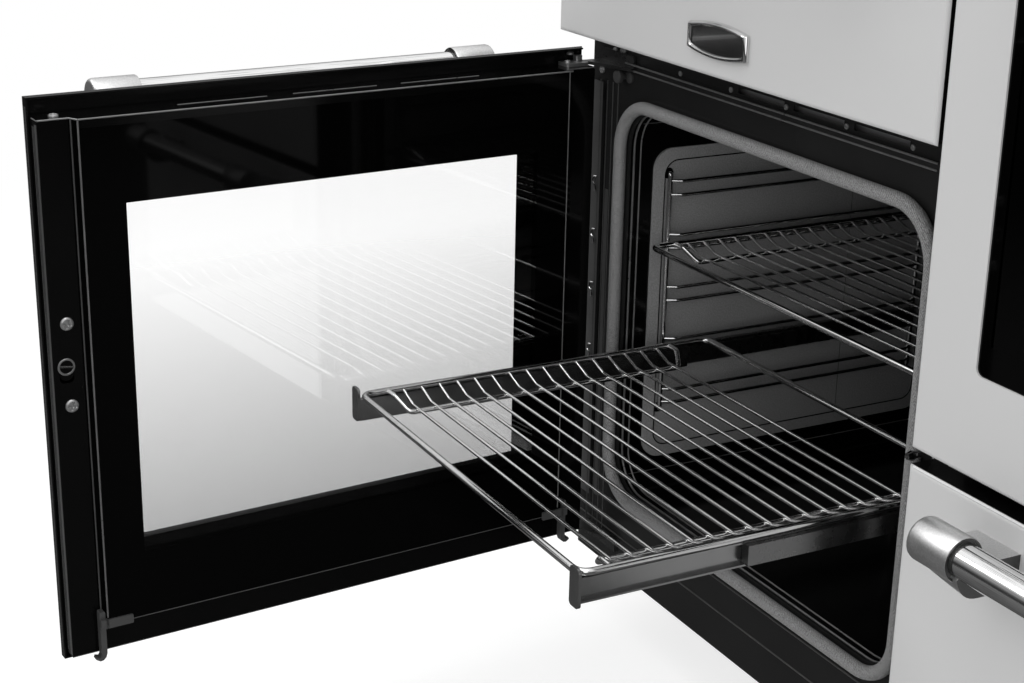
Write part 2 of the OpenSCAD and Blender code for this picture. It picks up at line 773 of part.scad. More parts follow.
module main_liners() {
    step = liner_t + liner_step;
    color([0.27, 0.27, 0.28]) for (dir = [0, 1])
        translate([cav_x, mouth_y + liner_front, cav_top - liner_drop - liner_h]) mirror([dir, 0, 0])
            translate([-wall_x, 0, 0]) rotate([90, 0, 90]) difference() {
                linear_extrude(step) rounded_rect(liner_d, liner_h, liner_r);
                translate([liner_rim, liner_rim, liner_t]) linear_extrude(step)
                    rounded_rect(liner_d - 2 * liner_rim, liner_h - 2 * liner_rim, liner_r - liner_rim / 2);
                for (y = [rack_front, rack_front + rack_d])
                    for (z = hook_z)
                        translate([y - liner_front, z - cav_top + liner_drop + liner_h, -cut])
                            cylinder(h = step + 2 * cut, d = hook_hole_d);
            }
}
// One side rack: x is measured from the oven wall
module side_rack(levels, top, hooks) {
    post_x = liner_t + slide_gap + upright_d / 2;
    level_bend = level_reach - post_x;
    for (y = [rack_front, rack_front + rack_d])
        wire_path([[0, y, hooks[0]], [post_x, y, hooks[0]], [post_x, y, hooks[1]], [0, y, hooks[1]]],
            upright_d, thin_share / 2);
    for (i = [0 : levels - 1])
        for (k = [0, 1])
            translate([0, 0, top - i * level_pitch - k * level_gap])
                wire_path([[post_x, rack_front, 0], [level_reach, rack_front + level_bend, 0],
                    [level_reach, rack_front + rack_d - level_bend, 0], [post_x, rack_front + rack_d, 0]],
                    level_d, thin_lap_share);
}
module main_racks() {
    color(chrome_wire) for (dir = [0, 1])
        translate([cav_x, mouth_y, 0]) mirror([dir, 0, 0]) translate([-wall_x, 0, 0])
            side_rack(level_count, pair_z, hook_z);
}
cover_slots = 8;
module main_fan_cover() {
    color(black_enamel) translate([motor_x, cav_back - cover_d, motor_z]) difference() {
        upright_plate(-cover_w / 2, 0, -cover_h / 2, cover_d) rounded_rect(cover_w, cover_h, cavity_r);
        upright_plate(-cover_w / 2 + sheet_t, sheet_t, -cover_h / 2 + sheet_t, cover_d)
            rounded_rect(cover_w - 2 * sheet_t, cover_h - 2 * sheet_t, cavity_r - sheet_t);
        for (i = [0 : cover_slots - 1])
            for (k = [0, 1])
                rotate([0, (i + k / 2) * 360 / cover_slots, 0])
                    translate([fan_d * (k + 1) / 5, -cut, -sheet_t])
                        cube([fan_d / 6, sheet_t + 2 * cut, 2 * sheet_t]);
    }
}
hub_d = shaft_d * 3;
blade_lean = 9;
module main_fan() {
    color("silver") translate([motor_x, cav_back - blade_w - 2 * sheet_t, motor_z]) rotate([-90, 0, 0]) {
        cylinder(h = blade_w, d = hub_d);
        cylinder(h = blade_w + 3 * sheet_t + motor_len / 4, d = shaft_d);
        for (i = [0 : blade_count - 1])
            rotate(i * 360 / blade_count) translate([hub_d / 2 - sheet_t, -sheet_t / 2, 0])
                rotate(blade_lean) cube([(fan_d - hub_d) / 2, sheet_t, blade_w]);
        translate([0, 0, blade_w - sheet_t]) cylinder(h = sheet_t, d = fan_d * 0.8);
    }
}
module main_fan_motor() {
    color("dimgray") translate([motor_x, cav_back + sheet_t, motor_z]) rotate([-90, 0, 0]) difference() {
        union() {
            cylinder(h = motor_len, d = motor_d * 0.7);
            translate([-motor_d / 2, -motor_d / 2, motor_len * 0.2])
                cube([motor_d, motor_d, motor_len * 0.5]);
            translate([-motor_d * 0.8, -flange_w / 2, 0]) cube([motor_d * 1.6, flange_w, sheet_t]);
        }
        translate([0, 0, -cut]) cylinder(h = motor_len / 3 + cut, d = shaft_d + 2 * slide_gap);
    }
}
// A zigzag element under a ceiling, drawn from its left front corner
module zigzag(w, d, passes) {
    step = w / (passes - 1);
    for (i = [0 : passes - 1])
        wire([i * step, step / 2, 0], [i * step, d - step / 2, 0], element_d);
    for (i = [0 : passes - 2])
        translate([(i + 0.5) * step, i % 2 == 0 ? step / 2 : d - step / 2, 0]) rotate(i % 2 == 0 ? 180 : 0)
            rotate_extrude(angle = 180) translate([step / 2, 0]) circle(d = element_d);
}
// The same with the two hangers that hold it
module hung_zigzag(w, d, passes) {
    zigzag(w, d, passes);
    for (x = [0, w])
        translate([x, d / 2, 0]) cylinder(h = 2 * element_d, d = element_d / 2);
}
roof_element_w = right_cavity_w * 0.7;
grill_element_w = cavity_w * 0.75;
grill_element_d = grill_d * 0.7;
module heating_elements() {
    color("dimgray") {
        // Ring round the fan, with its leads through the rear wall
        translate([motor_x, cav_back - cover_d / 2, motor_z]) rotate([90, 0, 0]) rotate_extrude()
            translate([ring_d / 2, 0]) circle(d = element_d);
        for (dir = [-1, 1])
            wire([motor_x + dir * lead_gap / 2, cav_back - cover_d / 2, lead_z],
                [motor_x + dir * lead_gap / 2, cav_back + sheet_t * 6, lead_z], element_d);
        // Grill element, held by hangers from the grill's ceiling
        translate([gcav_x - grill_element_w / 2, mouth_y + grill_d * 0.15, gcav_z + grill_h - 2 * element_d])
            hung_zigzag(grill_element_w, grill_element_d, grill_passes);
        // Roof element of the right oven
        translate([rcav_x - roof_element_w / 2, mouth_y + cavity_d * 0.2,
            rcav_z + right_cavity_h - 2 * element_d])
            hung_zigzag(roof_element_w, cavity_d * 0.6, grill_passes);
    }
}
module oven_lamp(x, z) {
    translate([x, cav_back, z]) rotate([90, 0, 0]) {
        cylinder(h = sheet_t * 2, d = lamp_d * 1.3);
        translate([0, 0, sheet_t * 2]) intersection() {
            sphere(d = lamp_d);
            cylinder(h = lamp_d, d = lamp_d);
        }
        translate([0, 0, -lamp_d / 2]) cylinder(h = lamp_d / 2, d = lamp_d - 2 * slide_gap);
    }
}
rlamp_x = rcav_x + right_cavity_w / 2 - lamp_d;
rlamp_z = rcav_z + right_cavity_h - lamp_d * 1.4;
module oven_lamps() {
    color("white") {
        oven_lamp(lamp_x, lamp_z);
        oven_lamp(rlamp_x, rlamp_z);
    }
}

// Telescopic runners: x is measured from the oven wall, y from the mouth, z from the runner's top
pull_down_count = 3;
upper_down_count = 1;
runner_x = level_reach + level_d / 2 + slide_gap;
runner_top = pair_z - pull_down_count * level_pitch - level_d / 2 - slide_gap * 10;
channel_w = (runner_w - 2 * slide_gap) / 2;
module runner_pair() {
    for (dir = [0, 1])
        translate([cav_x, mouth_y, runner_top]) mirror([dir, 0, 0]) translate([-wall_x + runner_x, 0, 0])
            children();
}
module channel(w, h, len, t) {
    translate([0, 0, -h]) cube([t, len, h]);
    for (z = [-t, -h])
        translate([0, 0, z]) cube([w, len, t]);
}
module runner_outers() {
    color(chrome_wire) runner_pair() translate([0, runner_front, 0])
        channel(channel_w, runner_h, runner_len, runner_t);
}
module runner_middles() {
    inner_h = runner_h - 2 * runner_t - 2 * slide_gap;
    color(chrome_wire) runner_pair()
        translate([runner_t + slide_gap, runner_front - pull_out / 2, -runner_t - slide_gap - inner_h])
            cube([runner_w - 2 * runner_t - 2 * slide_gap, runner_len, inner_h]);
}
module runner_inners() {
    color(chrome_wire) runner_pair() translate([0, runner_front - pull_out, 0]) {
        translate([runner_w, 0, 0]) mirror([1, 0, 0]) channel(channel_w, runner_h, runner_len, runner_t);
        upright_plate(runner_w / 2 - tab_w / 2, -tab_t, tab_h / 3 - tab_h, tab_t)
            rounded_rect(tab_w, tab_h, tab_w / 4);
    }
}

// A wire shelf: origin at the front left corner of its frame's middle line
module wire_shelf(w, d) {
    dip_z = -cross_dip;
    side_d = shelf_d * 0.8;
    side_z = dip_z - (cross_d + side_d) * 0.4;
    end_y = cross_first + (cross_count - 1) * cross_pitch;
    rise = cross_pitch * 0.8;
    flat_ring(w, d, shelf_r) circle(d = shelf_d);
    for (i = [0 : cross_count - 1])
        translate([0, cross_first + i * cross_pitch, 0])
            wire_path([[0, 0, 0], [dip_in * 0.75, 0, dip_z], [w - dip_in * 0.75, 0, dip_z], [w, 0, 0]],
                cross_d, thin_lap_share);
    for (x = [0, 1])
        translate([x * w, 0, 0]) mirror([x, 0, 0])
            wire_path([[0, cross_first - rise, 0], [dip_in / 2, cross_first - rise, 0],
                [dip_in, cross_first - rise / 2, side_z], [dip_in, end_y + rise / 2, side_z],
                [dip_in / 2, end_y + rise, 0], [0, end_y + rise, 0]], side_d, thin_lap_share);
}
shelf_z = runner_top + shelf_d / 2;
module pull_shelf() {
    color(chrome_wire) translate([cav_x - pull_shelf_w / 2,
        mouth_y + runner_front - pull_out + (shelf_d + slide_gap) / 2, shelf_z])
        wire_shelf(pull_shelf_w, pull_shelf_d);
}
upper_z = pair_z - upper_down_count * level_pitch - level_gap + level_d / 2 + shelf_d / 2 + slide_gap;
module upper_shelf() {
    color(chrome_wire) translate([cav_x - upper_shelf_w / 2, mouth_y + upper_front, upper_z])
        wire_shelf(upper_shelf_w, upper_shelf_d);
}

// Doors, each drawn from the bottom left corner of its skin's front

module door_skin(w, h, window, notch_side) {
    color(white_steel) difference() {
        slab(w, skin_lip, h, skin_r);
        translate([skin_t, skin_t, skin_t]) slab(w - 2 * skin_t, skin_lip, h - 2 * skin_t, skin_r - skin_t);
        if (window)
            upright_plate(window_in, -cut, window_low, skin_t + 2 * cut)
                rounded_rect(w - 2 * window_in, h - window_low - window_top, window_r);
        if (notch_side != 0)
            for (z = [-cut, h - tray_top - hinge_t])
                translate([notch_side < 0 ? -cut : w - skin_r, skin_r, z])
                    cube([skin_r + cut, skin_lip, tray_top + hinge_t + cut]);
        // The drop door's lower fold stops short of its hinge brackets
        if (notch_side == 0)
            for (x = [-cut, w - drop_tray_in - cut])
                translate([x, skin_r, -cut]) cube([drop_tray_in + 2 * cut, skin_lip, skin_r + cut]);
    }
}
vent_len_share = 0.15;
vent_pitch_share = 0.195;
module door_tray(w, h, side_in, low, hinge_side) {
    tray_w = w - 2 * side_in;
    tray_h = h - low - tray_top;
    pack_w = w - 2 * pack_in;
    pack_h = h - pack_low - tray_top;
    boss_d = 2 * hinge_back + skin_r;
    boss_w = hinge_in + side_in;
    color(black_enamel) difference() {
        union() {
            difference() {
                translate([side_in, skin_r, low]) cube([tray_w, tray_t - skin_r, tray_h]);
                translate([side_in + skin_t, 0, low + skin_t])
                    cube([tray_w - 2 * skin_t, tray_t - skin_t, tray_h - 2 * skin_t]);
            }
            upright_plate(pack_in, tray_t - skin_t, pack_low, door_t - pane_t - tray_t + skin_t)
                rounded_rect(pack_w, pack_h, window_r);
            // Square upper edge that stands over the inner glass
            translate([pack_in, tray_t - skin_t, h - tray_top - pane_drop])
                cube([pack_w, door_t - tray_t + skin_t, pane_drop]);
            if (hinge_side != 0)
                for (z = [low, low + tray_h - pin_len - skin_r])
                    translate([hinge_side < 0 ? skin_r : w - skin_r - boss_w, skin_t, z])
                        cube([boss_w, boss_d, pin_len + skin_r]);
        }
        upright_plate(pack_in + pack_rim, tray_t - skin_t - cut, pack_low + pack_rim, door_t)
            rounded_rect(pack_w - 2 * pack_rim, pack_h - 2 * pack_rim, window_r);
        if (hinge_side != 0)
            for (z = [low - cut, h - tray_top - pin_len - slide_gap])
                translate([hinge_side < 0 ? hinge_in : w - hinge_in, hinge_back, z])
                    cylinder(h = pin_len + slide_gap + cut, d = pin_d + 2 * slide_gap);
        // Vent slots in the tray's top
        for (k = [-1 : 1])
            translate([w * (0.5 + k * vent_pitch_share - vent_len_share / 2), tray_t * 0.6,
                h - tray_top - skin_t - cut])
                cube([w * vent_len_share, skin_t * 2, skin_t + 2 * cut]);
    }
}
module door_panes(w, h) {
    pack_w = w - 2 * pack_in;
    pack_h = h - pack_low - tray_top - pane_drop;
    color([0.1, 0.1, 0.1, 0.5]) {
        upright_plate(pack_in, door_t - pane_t, pack_low, pane_t) rounded_rect(pack_w, pack_h, window_r);
        upright_plate(window_in - pack_rim, skin_t, window_low - pack_rim, pane_t)
            rounded_rect(w - 2 * window_in + 2 * pack_rim, h - window_low - window_top + 2 * pack_rim,
                window_r);
    }
}

// A bar handle between two caps, each with a foot on the skin, from its left end on its axis
module handle_cap(dir) {
    mirror([dir, 0, 0]) {
        difference() {
            union() {
                rotate([0, 90, 0]) cylinder(h = cap_len, d = cap_d);
                translate([cap_len + foot_inner - foot_w, 0, -foot_dip - foot_h])
                    foot_block();
            }
            translate([cap_len - ring_deep, 0, 0]) rotate([0, 90, 0])
                cylinder(h = foot_inner + ring_deep + cut, d = (bar_d + cap_d) / 2);
            translate([cap_len / 2, 0, 0]) rotate([0, 90, 0]) cylinder(h = cap_len, d = bar_d);
        }
    }
}
foot_inner = 4.5;
module foot_block() {
    r = skin_r;
    translate([0, 0, 0]) rotate([90, 0, 90]) linear_extrude(foot_w) {
        translate([0, r]) square([handle_off, foot_h - r]);
        translate([r, 0]) square([handle_off - r, r]);
        translate([r, r]) circle(r);
    }
}
module handle_bar(len) {
    rotate([0, 90, 0]) translate([0, 0, cap_len / 2]) cylinder(h = len - cap_len, d = bar_d);
}
module handle_ends(len) {
    handle_cap(0);
    translate([len, 0, 0]) handle_cap(1);
}
module on_handle(h, side_in) {
    translate([side_in, -handle_off, h - handle_drop]) children();
}

// Main oven door, turned about its hinge pin to where it stands open
module place_main_door() {
    pin = [left_x + hinge_in, front_y + hinge_back, 0];
    translate(pin) rotate(-open_angle) translate(-pin) translate([left_x, front_y, door_z]) children();
}
main_handle_len = left_w - 2 * handle_in;
module main_door_skin() { place_main_door() door_skin(left_w, main_door_h, true, -1); }
module main_door_tray() {
    place_main_door() difference() {
        door_tray(left_w, main_door_h, tray_in, tray_low, -1);
        // Slot for the catch
        upright_plate(left_w - catch_in - catch_d * 0.75, tray_t - 2 * skin_t,
            catch_z - door_z - catch_d * 1.5, skin_t * 3)
            rounded_rect(catch_d * 1.5, catch_d * 3, catch_d / 2);
    }
}
module main_door_glass() { place_main_door() door_panes(left_w, main_door_h); }
module main_handle_bar() {
    color("silver") place_main_door() on_handle(main_door_h, handle_in) handle_bar(main_handle_len);
}
module main_handle_ends() {
    color("lightgray") place_main_door() on_handle(main_door_h, handle_in) handle_ends(main_handle_len);
}

// Right oven door
module place_right_door() { translate([right_x, front_y, right_door_z]) children(); }
right_handle_len = right_w - 2 * right_handle_in;
module right_door_skin() { place_right_door() door_skin(right_w, right_door_h, true, 1); }
module right_door_tray() { place_right_door() door_tray(right_w, right_door_h, tray_in, tray_low, 1); }
module right_door_glass() { place_right_door() door_panes(right_w, right_door_h); }
module right_door_handle() {
    color("lightgray") place_right_door() on_handle(right_door_h, right_handle_in) {
        handle_ends(right_handle_len);
        handle_bar(right_handle_len);
    }
}

// Grill door, which drops about a low pivot
drop_tray_in = tray_in + hinge_t + 2 * slide_gap;
module place_grill_door() { translate([left_x, front_y, grill_z]) children(); }
module grill_door_skin() { place_grill_door() door_skin(left_w, grill_door_h, false, 0); }
module grill_door_tray() {
    low = drop_pivot - pin_d - slide_gap;
    place_grill_door() difference() {
        union() {
            door_tray(left_w, grill_door_h, drop_tray_in, low, 0);
            color(black_enamel) translate([drop_tray_in, skin_t, low])
                cube([pin_len + skin_r, drop_pivot + pin_d - skin_t, 2 * pin_d + 2 * slide_gap]);
            color(black_enamel) translate([left_w - drop_tray_in - pin_len - skin_r, skin_t, low])
                cube([pin_len + skin_r, drop_pivot + pin_d - skin_t, 2 * pin_d + 2 * slide_gap]);
            color(black_enamel) upright_plate(pack_in, door_t - pane_t, pack_low, pane_t)
                rounded_rect(left_w - 2 * pack_in, grill_door_h - pack_low - tray_top - pane_drop, window_r);
        }
        for (x = [drop_tray_in - cut, left_w - drop_tray_in - pin_len - slide_gap])
            translate([x, drop_pivot, drop_pivot]) rotate([0, 90, 0])
                cylinder(h = pin_len + slide_gap + cut, d = pin_d + 2 * slide_gap);
    }
}
module grill_door_handle() {
    color("lightgray") place_grill_door() on_handle(grill_door_h, handle_in) {
        handle_ends(main_handle_len);
        handle_bar(main_handle_len);
    }
}

// Hinge brackets on the front frame, with their pins
pin_ear = pin_d / 2 + slide_gap;
module swing_bracket(up) {
    reach_y = frame_y - front_y - hinge_back;
    mirror([0, 0, up ? 0 : 1]) {
        linear_extrude(hinge_t) {
            circle(pin_ear);
            polygon([[-pin_d / 2, 0], [hinge_in / 4, hinge_in], [hinge_in / 4, reach_y],
                [hinge_reach, reach_y], [hinge_reach, reach_y - 2 * hinge_t], [hinge_in, hinge_in],
                [pin_d / 2, -slide_gap]]);
        }
        translate([hinge_in / 4, reach_y - hinge_t, 0]) cube([hinge_reach - hinge_in / 4, hinge_t, hinge_in]);
        translate([0, 0, -pin_len]) cylinder(h = pin_len, d = pin_d);
    }
}
module swing_brackets(side, x, z, h) {
    for (up = [false, true])
        translate([x, front_y + hinge_back, up ? z + h - tray_top + slide_gap : z + tray_low - slide_gap])
            mirror([side > 0 ? 1 : 0, 0, 0]) swing_bracket(up);
}
module drop_bracket() {
    reach_y = frame_y - front_y;
    rotate([90, 0, 90]) linear_extrude(hinge_t)
        polygon([[drop_pivot - pin_d, drop_pivot - pin_d], [reach_y, drop_pivot - pin_d],
            [reach_y, 2 * drop_pivot], [drop_pivot, drop_pivot + pin_d],
            [drop_pivot - pin_d, drop_pivot + pin_d / 2]]);
    translate([0, drop_pivot, drop_pivot]) rotate([0, 90, 0]) cylinder(h = hinge_t + pin_len, d = pin_d);
}
module door_hinges() {
    color("silver") {
        swing_brackets(-1, left_x + hinge_in, door_z, main_door_h);
        swing_brackets(1, right_x + right_w - hinge_in, right_door_z, right_door_h);
        place_grill_door() {
            translate([tray_in + slide_gap, 0, 0]) drop_bracket();
            translate([left_w - tray_in - slide_gap, 0, 0]) mirror([1, 0, 0]) drop_bracket();
        }
    }
}

// The striker that holds the closed main oven door
catch_in = 13;
catch_out = 27;
catch_d = 8;
catch_z = grill_z - catch_drop;
module door_catch() {
    color("silver") translate([mid_x - catch_in, frame_y, catch_z]) rotate([90, 0, 0]) rotate_extrude()
        polygon([[0, 0], [catch_d, 0], [catch_d, sheet_t], [catch_d / 3, sheet_t * 2],
            [catch_d / 3, catch_out - catch_d], [catch_d / 2, catch_out - catch_d / 2],
            [catch_d / 3, catch_out], [0, catch_out]]);
}

// Right oven

module right_cavity() {
    color(black_enamel) difference() {
        translate([rcav_x, mouth_y + groove_deep, rcav_z])
            oven_shell(right_cavity_w, right_cavity_h, cavity_d - groove_deep, cavity_r, oven_flange);
        translate([rlamp_x, cav_back - cut, rlamp_z]) rotate([-90, 0, 0])
            cylinder(h = sheet_t + 2 * cut, d = lamp_d);
    }
}
module right_gasket() {
    r = skin_r / 2;
    w = ropen_w + 2 * pressed_w;
    h = ropen_h + 2 * pressed_w;
    color("gray") difference() {
        upright_plate(rcav_x - w / 2, front_y + door_t + slide_gap, rcav_z + seal_edge - pressed_w,
            seal_gap + groove_deep - slide_gap) rounded_rect(w, h, cavity_r + pressed_w);
        upright_plate(rcav_x - ropen_w / 2, frame_y - pressed_w, rcav_z + seal_edge, 2 * pressed_w)
            rounded_rect(ropen_w, ropen_h, cavity_r);
    }
}
right_pair_z = rcav_z + right_cavity_h - level_drop;
module right_racks() {
    hooks = [right_pair_z + level_gap / 2,
        right_pair_z - (right_levels - 1) * level_pitch - 1.5 * level_gap];
    color(chrome_wire) for (dir = [0, 1])
        translate([rcav_x, mouth_y, 0]) mirror([dir, 0, 0]) translate([-right_cavity_w / 2, 0, 0])
            side_rack(right_levels, right_pair_z, hooks);
}
module right_shelf() {
    w = right_cavity_w - 2 * level_reach - level_d / 2;
    z = right_pair_z - level_pitch - level_gap + level_d / 2 + shelf_d / 2;
    color(chrome_wire) translate([rcav_x - w / 2, mouth_y + upper_front, z]) wire_shelf(w, upper_shelf_d);
}

// Grill

shelf_ledge = flange_w;
module grill_cavity() {
    color(black_enamel) {
        translate([gcav_x, mouth_y, gcav_z]) oven_shell(cavity_w, grill_h, grill_d, cavity_r, oven_flange);
        for (dir = [0, 1])
            translate([gcav_x, mouth_y + flange_w, gcav_z + cavity_r]) mirror([dir, 0, 0])
                translate([-cavity_w / 2 - sheet_t / 2, 0, 0])
                    cube([shelf_ledge + sheet_t / 2, grill_d - 2 * flange_w, sheet_t]);
    }
}
module grill_pan() {
    rim = cavity_w - shelf_ledge;
    z = gcav_z + cavity_r + sheet_t;
    color("dimgray") translate([gcav_x, mouth_y + 2 * flange_w, z]) difference() {
        union() {
            translate([-rim / 2, 0, 0]) linear_extrude(sheet_t) rounded_rect(rim, pan_d, cavity_r);
            translate([-pan_w / 2, flange_w / 2, -cavity_r]) linear_extrude(cavity_r + sheet_t)
                rounded_rect(pan_w, pan_d - flange_w, cavity_r);
        }
        translate([-pan_w / 2 + sheet_t, flange_w / 2 + sheet_t, -cavity_r + sheet_t])
            linear_extrude(2 * cavity_r)
                rounded_rect(pan_w - 2 * sheet_t, pan_d - flange_w - 2 * sheet_t, cavity_r - sheet_t);
    }
}

// Storage drawer

module drawer_front() { translate([right_x, front_y, door_z]) door_skin_plain(right_w, drawer_h); }
module door_skin_plain(w, h) {
    color(white_steel) difference() {
        slab(w, skin_lip * 2, h, skin_r);
        translate([skin_t, skin_t, skin_t])
            slab(w - 2 * skin_t, skin_lip * 2, h - 2 * skin_t, skin_r - skin_t);
    }
}
module drawer_box() {
    plate_y = front_y + skin_t;
    color("gray") {
        // Inner panel of the front
        translate([right_x + skin_r + skin_t, plate_y, door_z + skin_r + skin_t]) difference() {
            cube([right_w - 2 * skin_r - 2 * skin_t, door_t - skin_t, drawer_h - 2 * skin_r - 2 * skin_t]);
            translate([skin_t, -cut, skin_t])
                cube([right_w - 2 * skin_r - 4 * skin_t, door_t - 2 * skin_t + cut,
                    drawer_h - 2 * skin_r - 4 * skin_t]);
        }
        // Box behind it, open above
        translate([box_x, front_y + door_t, box_z]) difference() {
            cube([box_w, box_d, box_h]);
            translate([skin_t, skin_t, skin_t]) cube([box_w - 2 * skin_t, box_d - 2 * skin_t, box_h]);
        }
    }
}
module place_drawer() { translate([right_x, front_y, door_z]) children(); }
module drawer_handle_bar() {
    color("silver") place_drawer() on_handle(drawer_h, right_handle_in) handle_bar(right_handle_len);
}
module drawer_handle_ends() {
    color("lightgray") place_drawer() on_handle(drawer_h, right_handle_in) handle_ends(right_handle_len);
}
module drawer_rails() {
    color("silver") for (k = [0, 1])
        translate([box_x + k * (box_w - rail_w), frame_back + 2 * sheet_t + slide_gap,
            stand_h + sheet_t]) {
            translate([0, 0, rail_h - sheet_t]) cube([rail_w, box_d - flange_w, sheet_t]);
            translate([k * (rail_w - sheet_t), 0, 0]) cube([sheet_t, box_d - flange_w, rail_h]);
            cube([rail_w, box_d - flange_w, sheet_t]);
        }
}

left_side_panel();
right_side_panel();
rear_panel();
base_tray();
levelling_feet();
front_frame();
hob_frame();
hob_glass();
hob_heaters();
rear_vent();
control_panel();
clock_module();
clock_button_minus();
clock_button_plus();
knob_1();
knob_2();
knob_3();
knob_4();
knob_5();
knob_6();
knob_7();
main_cavity();
main_gasket();
main_liners();
main_racks();
main_fan_cover();
main_fan();
main_fan_motor();
heating_elements();
oven_lamps();
runner_outers();
runner_middles();
runner_inners();
pull_shelf();
upper_shelf();
main_door_skin();
main_door_tray();
main_door_glass();
main_handle_bar();
main_handle_ends();
door_hinges();
door_catch();
right_cavity();
right_gasket();
right_racks();
right_shelf();
right_door_skin();
right_door_tray();
right_door_glass();
right_door_handle();
grill_cavity();
grill_pan();
grill_door_skin();
grill_door_tray();
grill_door_handle();
drawer_front();
drawer_box();
drawer_handle_bar();
drawer_handle_ends();
drawer_rails();
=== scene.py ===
import math

import bmesh
import bpy
from mathutils import Matrix, Vector


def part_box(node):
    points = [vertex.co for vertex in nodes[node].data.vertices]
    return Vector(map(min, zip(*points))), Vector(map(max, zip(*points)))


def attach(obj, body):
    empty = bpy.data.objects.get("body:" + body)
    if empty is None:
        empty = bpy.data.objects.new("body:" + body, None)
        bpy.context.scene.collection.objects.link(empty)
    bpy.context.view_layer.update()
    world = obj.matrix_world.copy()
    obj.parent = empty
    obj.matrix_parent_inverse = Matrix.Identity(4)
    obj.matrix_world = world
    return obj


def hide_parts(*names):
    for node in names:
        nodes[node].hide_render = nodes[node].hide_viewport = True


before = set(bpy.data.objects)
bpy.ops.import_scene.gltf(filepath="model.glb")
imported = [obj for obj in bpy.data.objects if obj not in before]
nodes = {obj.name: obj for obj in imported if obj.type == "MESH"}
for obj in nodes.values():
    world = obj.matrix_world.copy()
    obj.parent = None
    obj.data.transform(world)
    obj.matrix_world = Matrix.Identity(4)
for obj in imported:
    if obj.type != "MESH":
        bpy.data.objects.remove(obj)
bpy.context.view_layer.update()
print("frame loaded:", len(nodes), "nodes")

mm = 0.001

# A node's low and high corner in millimetres
def boxOf(name):
    return tuple([c / mm for c in corner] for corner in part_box(name))


# Where the fronts stand, and how the main door stands open about its pin
grillLow, grillHigh = boxOf("grill_door_skin")
rightLow, rightHigh = boxOf("right_door_skin")
drawerLow, drawerHigh = boxOf("drawer_front")
mainLow, mainHigh = boxOf("main_door_skin")
skinY, frameY = grillLow[1], boxOf("control_panel")[1][1]
leftX, leftW, mainH = grillLow[0], grillHigh[0] - grillLow[0], mainHigh[2] - mainLow[2]
rightX, rightW, rightH = rightLow[0], rightHigh[0] - rightLow[0], rightHigh[2] - rightLow[2]
drawerH = drawerHigh[2] - drawerLow[2]
doorPin, doorOpen, hingeIn, hingeBack = (-482.9, -295.0), math.radians(85.6), 13.6, 5.0

openDoor = (Matrix.Translation((*doorPin, mainLow[2])) @ Matrix.Rotation(-doorOpen, 4, "Z")
            @ Matrix.Translation((-hingeIn, -hingeBack, 0)))
onGrill, onDrawer = Matrix.Translation(grillLow), Matrix.Translation(drawerLow)


# Shader maths

# A socket of a shader tree that can be added, scaled and compared like a number
class Wire:

    def __init__(self, shader, socket):
        self.shader, self.socket = shader, socket

    def maths(self, operation, *others, clamp=False):
        values = {i: v for i, v in enumerate((self, *others))}
        return self.shader.make("Math", values, operation=operation, use_clamp=clamp)

    def __add__(self, other):
        return self.maths("ADD", other)

    __radd__ = __add__

    def __sub__(self, other):
        return self.maths("SUBTRACT", other)

    def __rsub__(self, other):
        return self.shader.make("Math", {0: other, 1: self}, operation="SUBTRACT")

    def __mul__(self, other):
        return self.maths("MULTIPLY", other)

    __rmul__ = __mul__

    def above(self, edge):
        return self.maths("GREATER_THAN", edge)

    def below(self, edge):
        return self.maths("LESS_THAN", edge)

    def ramp(self, low, high):
        return self.shader.make("MapRange", {"Value": self, "From Min": low, "From Max": high},
                                interpolation_type="SMOOTHSTEP")


# One node tree, emptied and refilled
class Shader:

    def __init__(self, owner):
        owner.use_nodes = True
        self.tree = owner.node_tree
        self.tree.nodes.clear()

    def make(self, kind, values=None, out=0, **settings):
        node = self.tree.nodes.new("ShaderNode" + kind)
        for key, value in settings.items():
            setattr(node, key, value)
        for key, value in (values or {}).items():
            if isinstance(value, Wire):
                self.tree.links.new(value.socket, node.inputs[key])
            else:
                node.inputs[key].default_value = value
        return Wire(self, node.outputs[out])

    def place(self):
        return self.make("TexCoord", out="Object")

    def parts(self, vector):
        split = self.make("SeparateXYZ", {0: vector})
        return [Wire(self, s) for s in split.socket.node.outputs]
    def rays(self, *names):
        path = self.make("LightPath")
        return [Wire(self, path.socket.node.outputs[name]) for name in names]

    def away(self, vector, origin):
        return self.make("VectorMath", {0: vector, 1: [c * mm for c in origin]}, operation="SUBTRACT")

    def dot(self, vector, axis):
        return self.make("VectorMath", {0: vector, 1: axis}, out="Value", operation="DOT_PRODUCT")
    def noise(self, vector, scale, detail=2.0, stretch=(1, 1, 1)):
        spread = self.make("VectorMath", {0: vector, 1: stretch}, operation="MULTIPLY")
        return self.make("TexNoise", {"Vector": spread, "Scale": scale, "Detail": detail})

    def bump(self, height, strength, distance):
        return self.make("Bump", {"Height": height, "Strength": strength, "Distance": distance})

    def colours(self, factor, first, second):
        return self.make("Mix", {0: factor, 6: first, 7: second}, out=2, data_type="RGBA")

    # Between the dark and the light of a look
    def shades(self, factor, look):
        return self.colours(factor, grey(look["dark"]), grey(look["light"]))

    def surface(self, values):
        return self.make("BsdfPrincipled", values)

    def mixed(self, factor, first, second):
        return self.make("MixShader", {0: factor, 1: first, 2: second})

    def end(self, shader, kind="OutputMaterial"):
        node = self.tree.nodes.new("ShaderNode" + kind)
        self.tree.links.new(shader.socket, node.inputs[0])


def grey(level):
    return (level, level, level, 1.0)


def newMaterial(name):
    material = bpy.data.materials.new(name)
    return material, Shader(material)


uneven = {"detail": 3.0, "roughShare": 0.5, "coatRough": 0.03, "bump": 0.05, "high": 0.4 * mm}


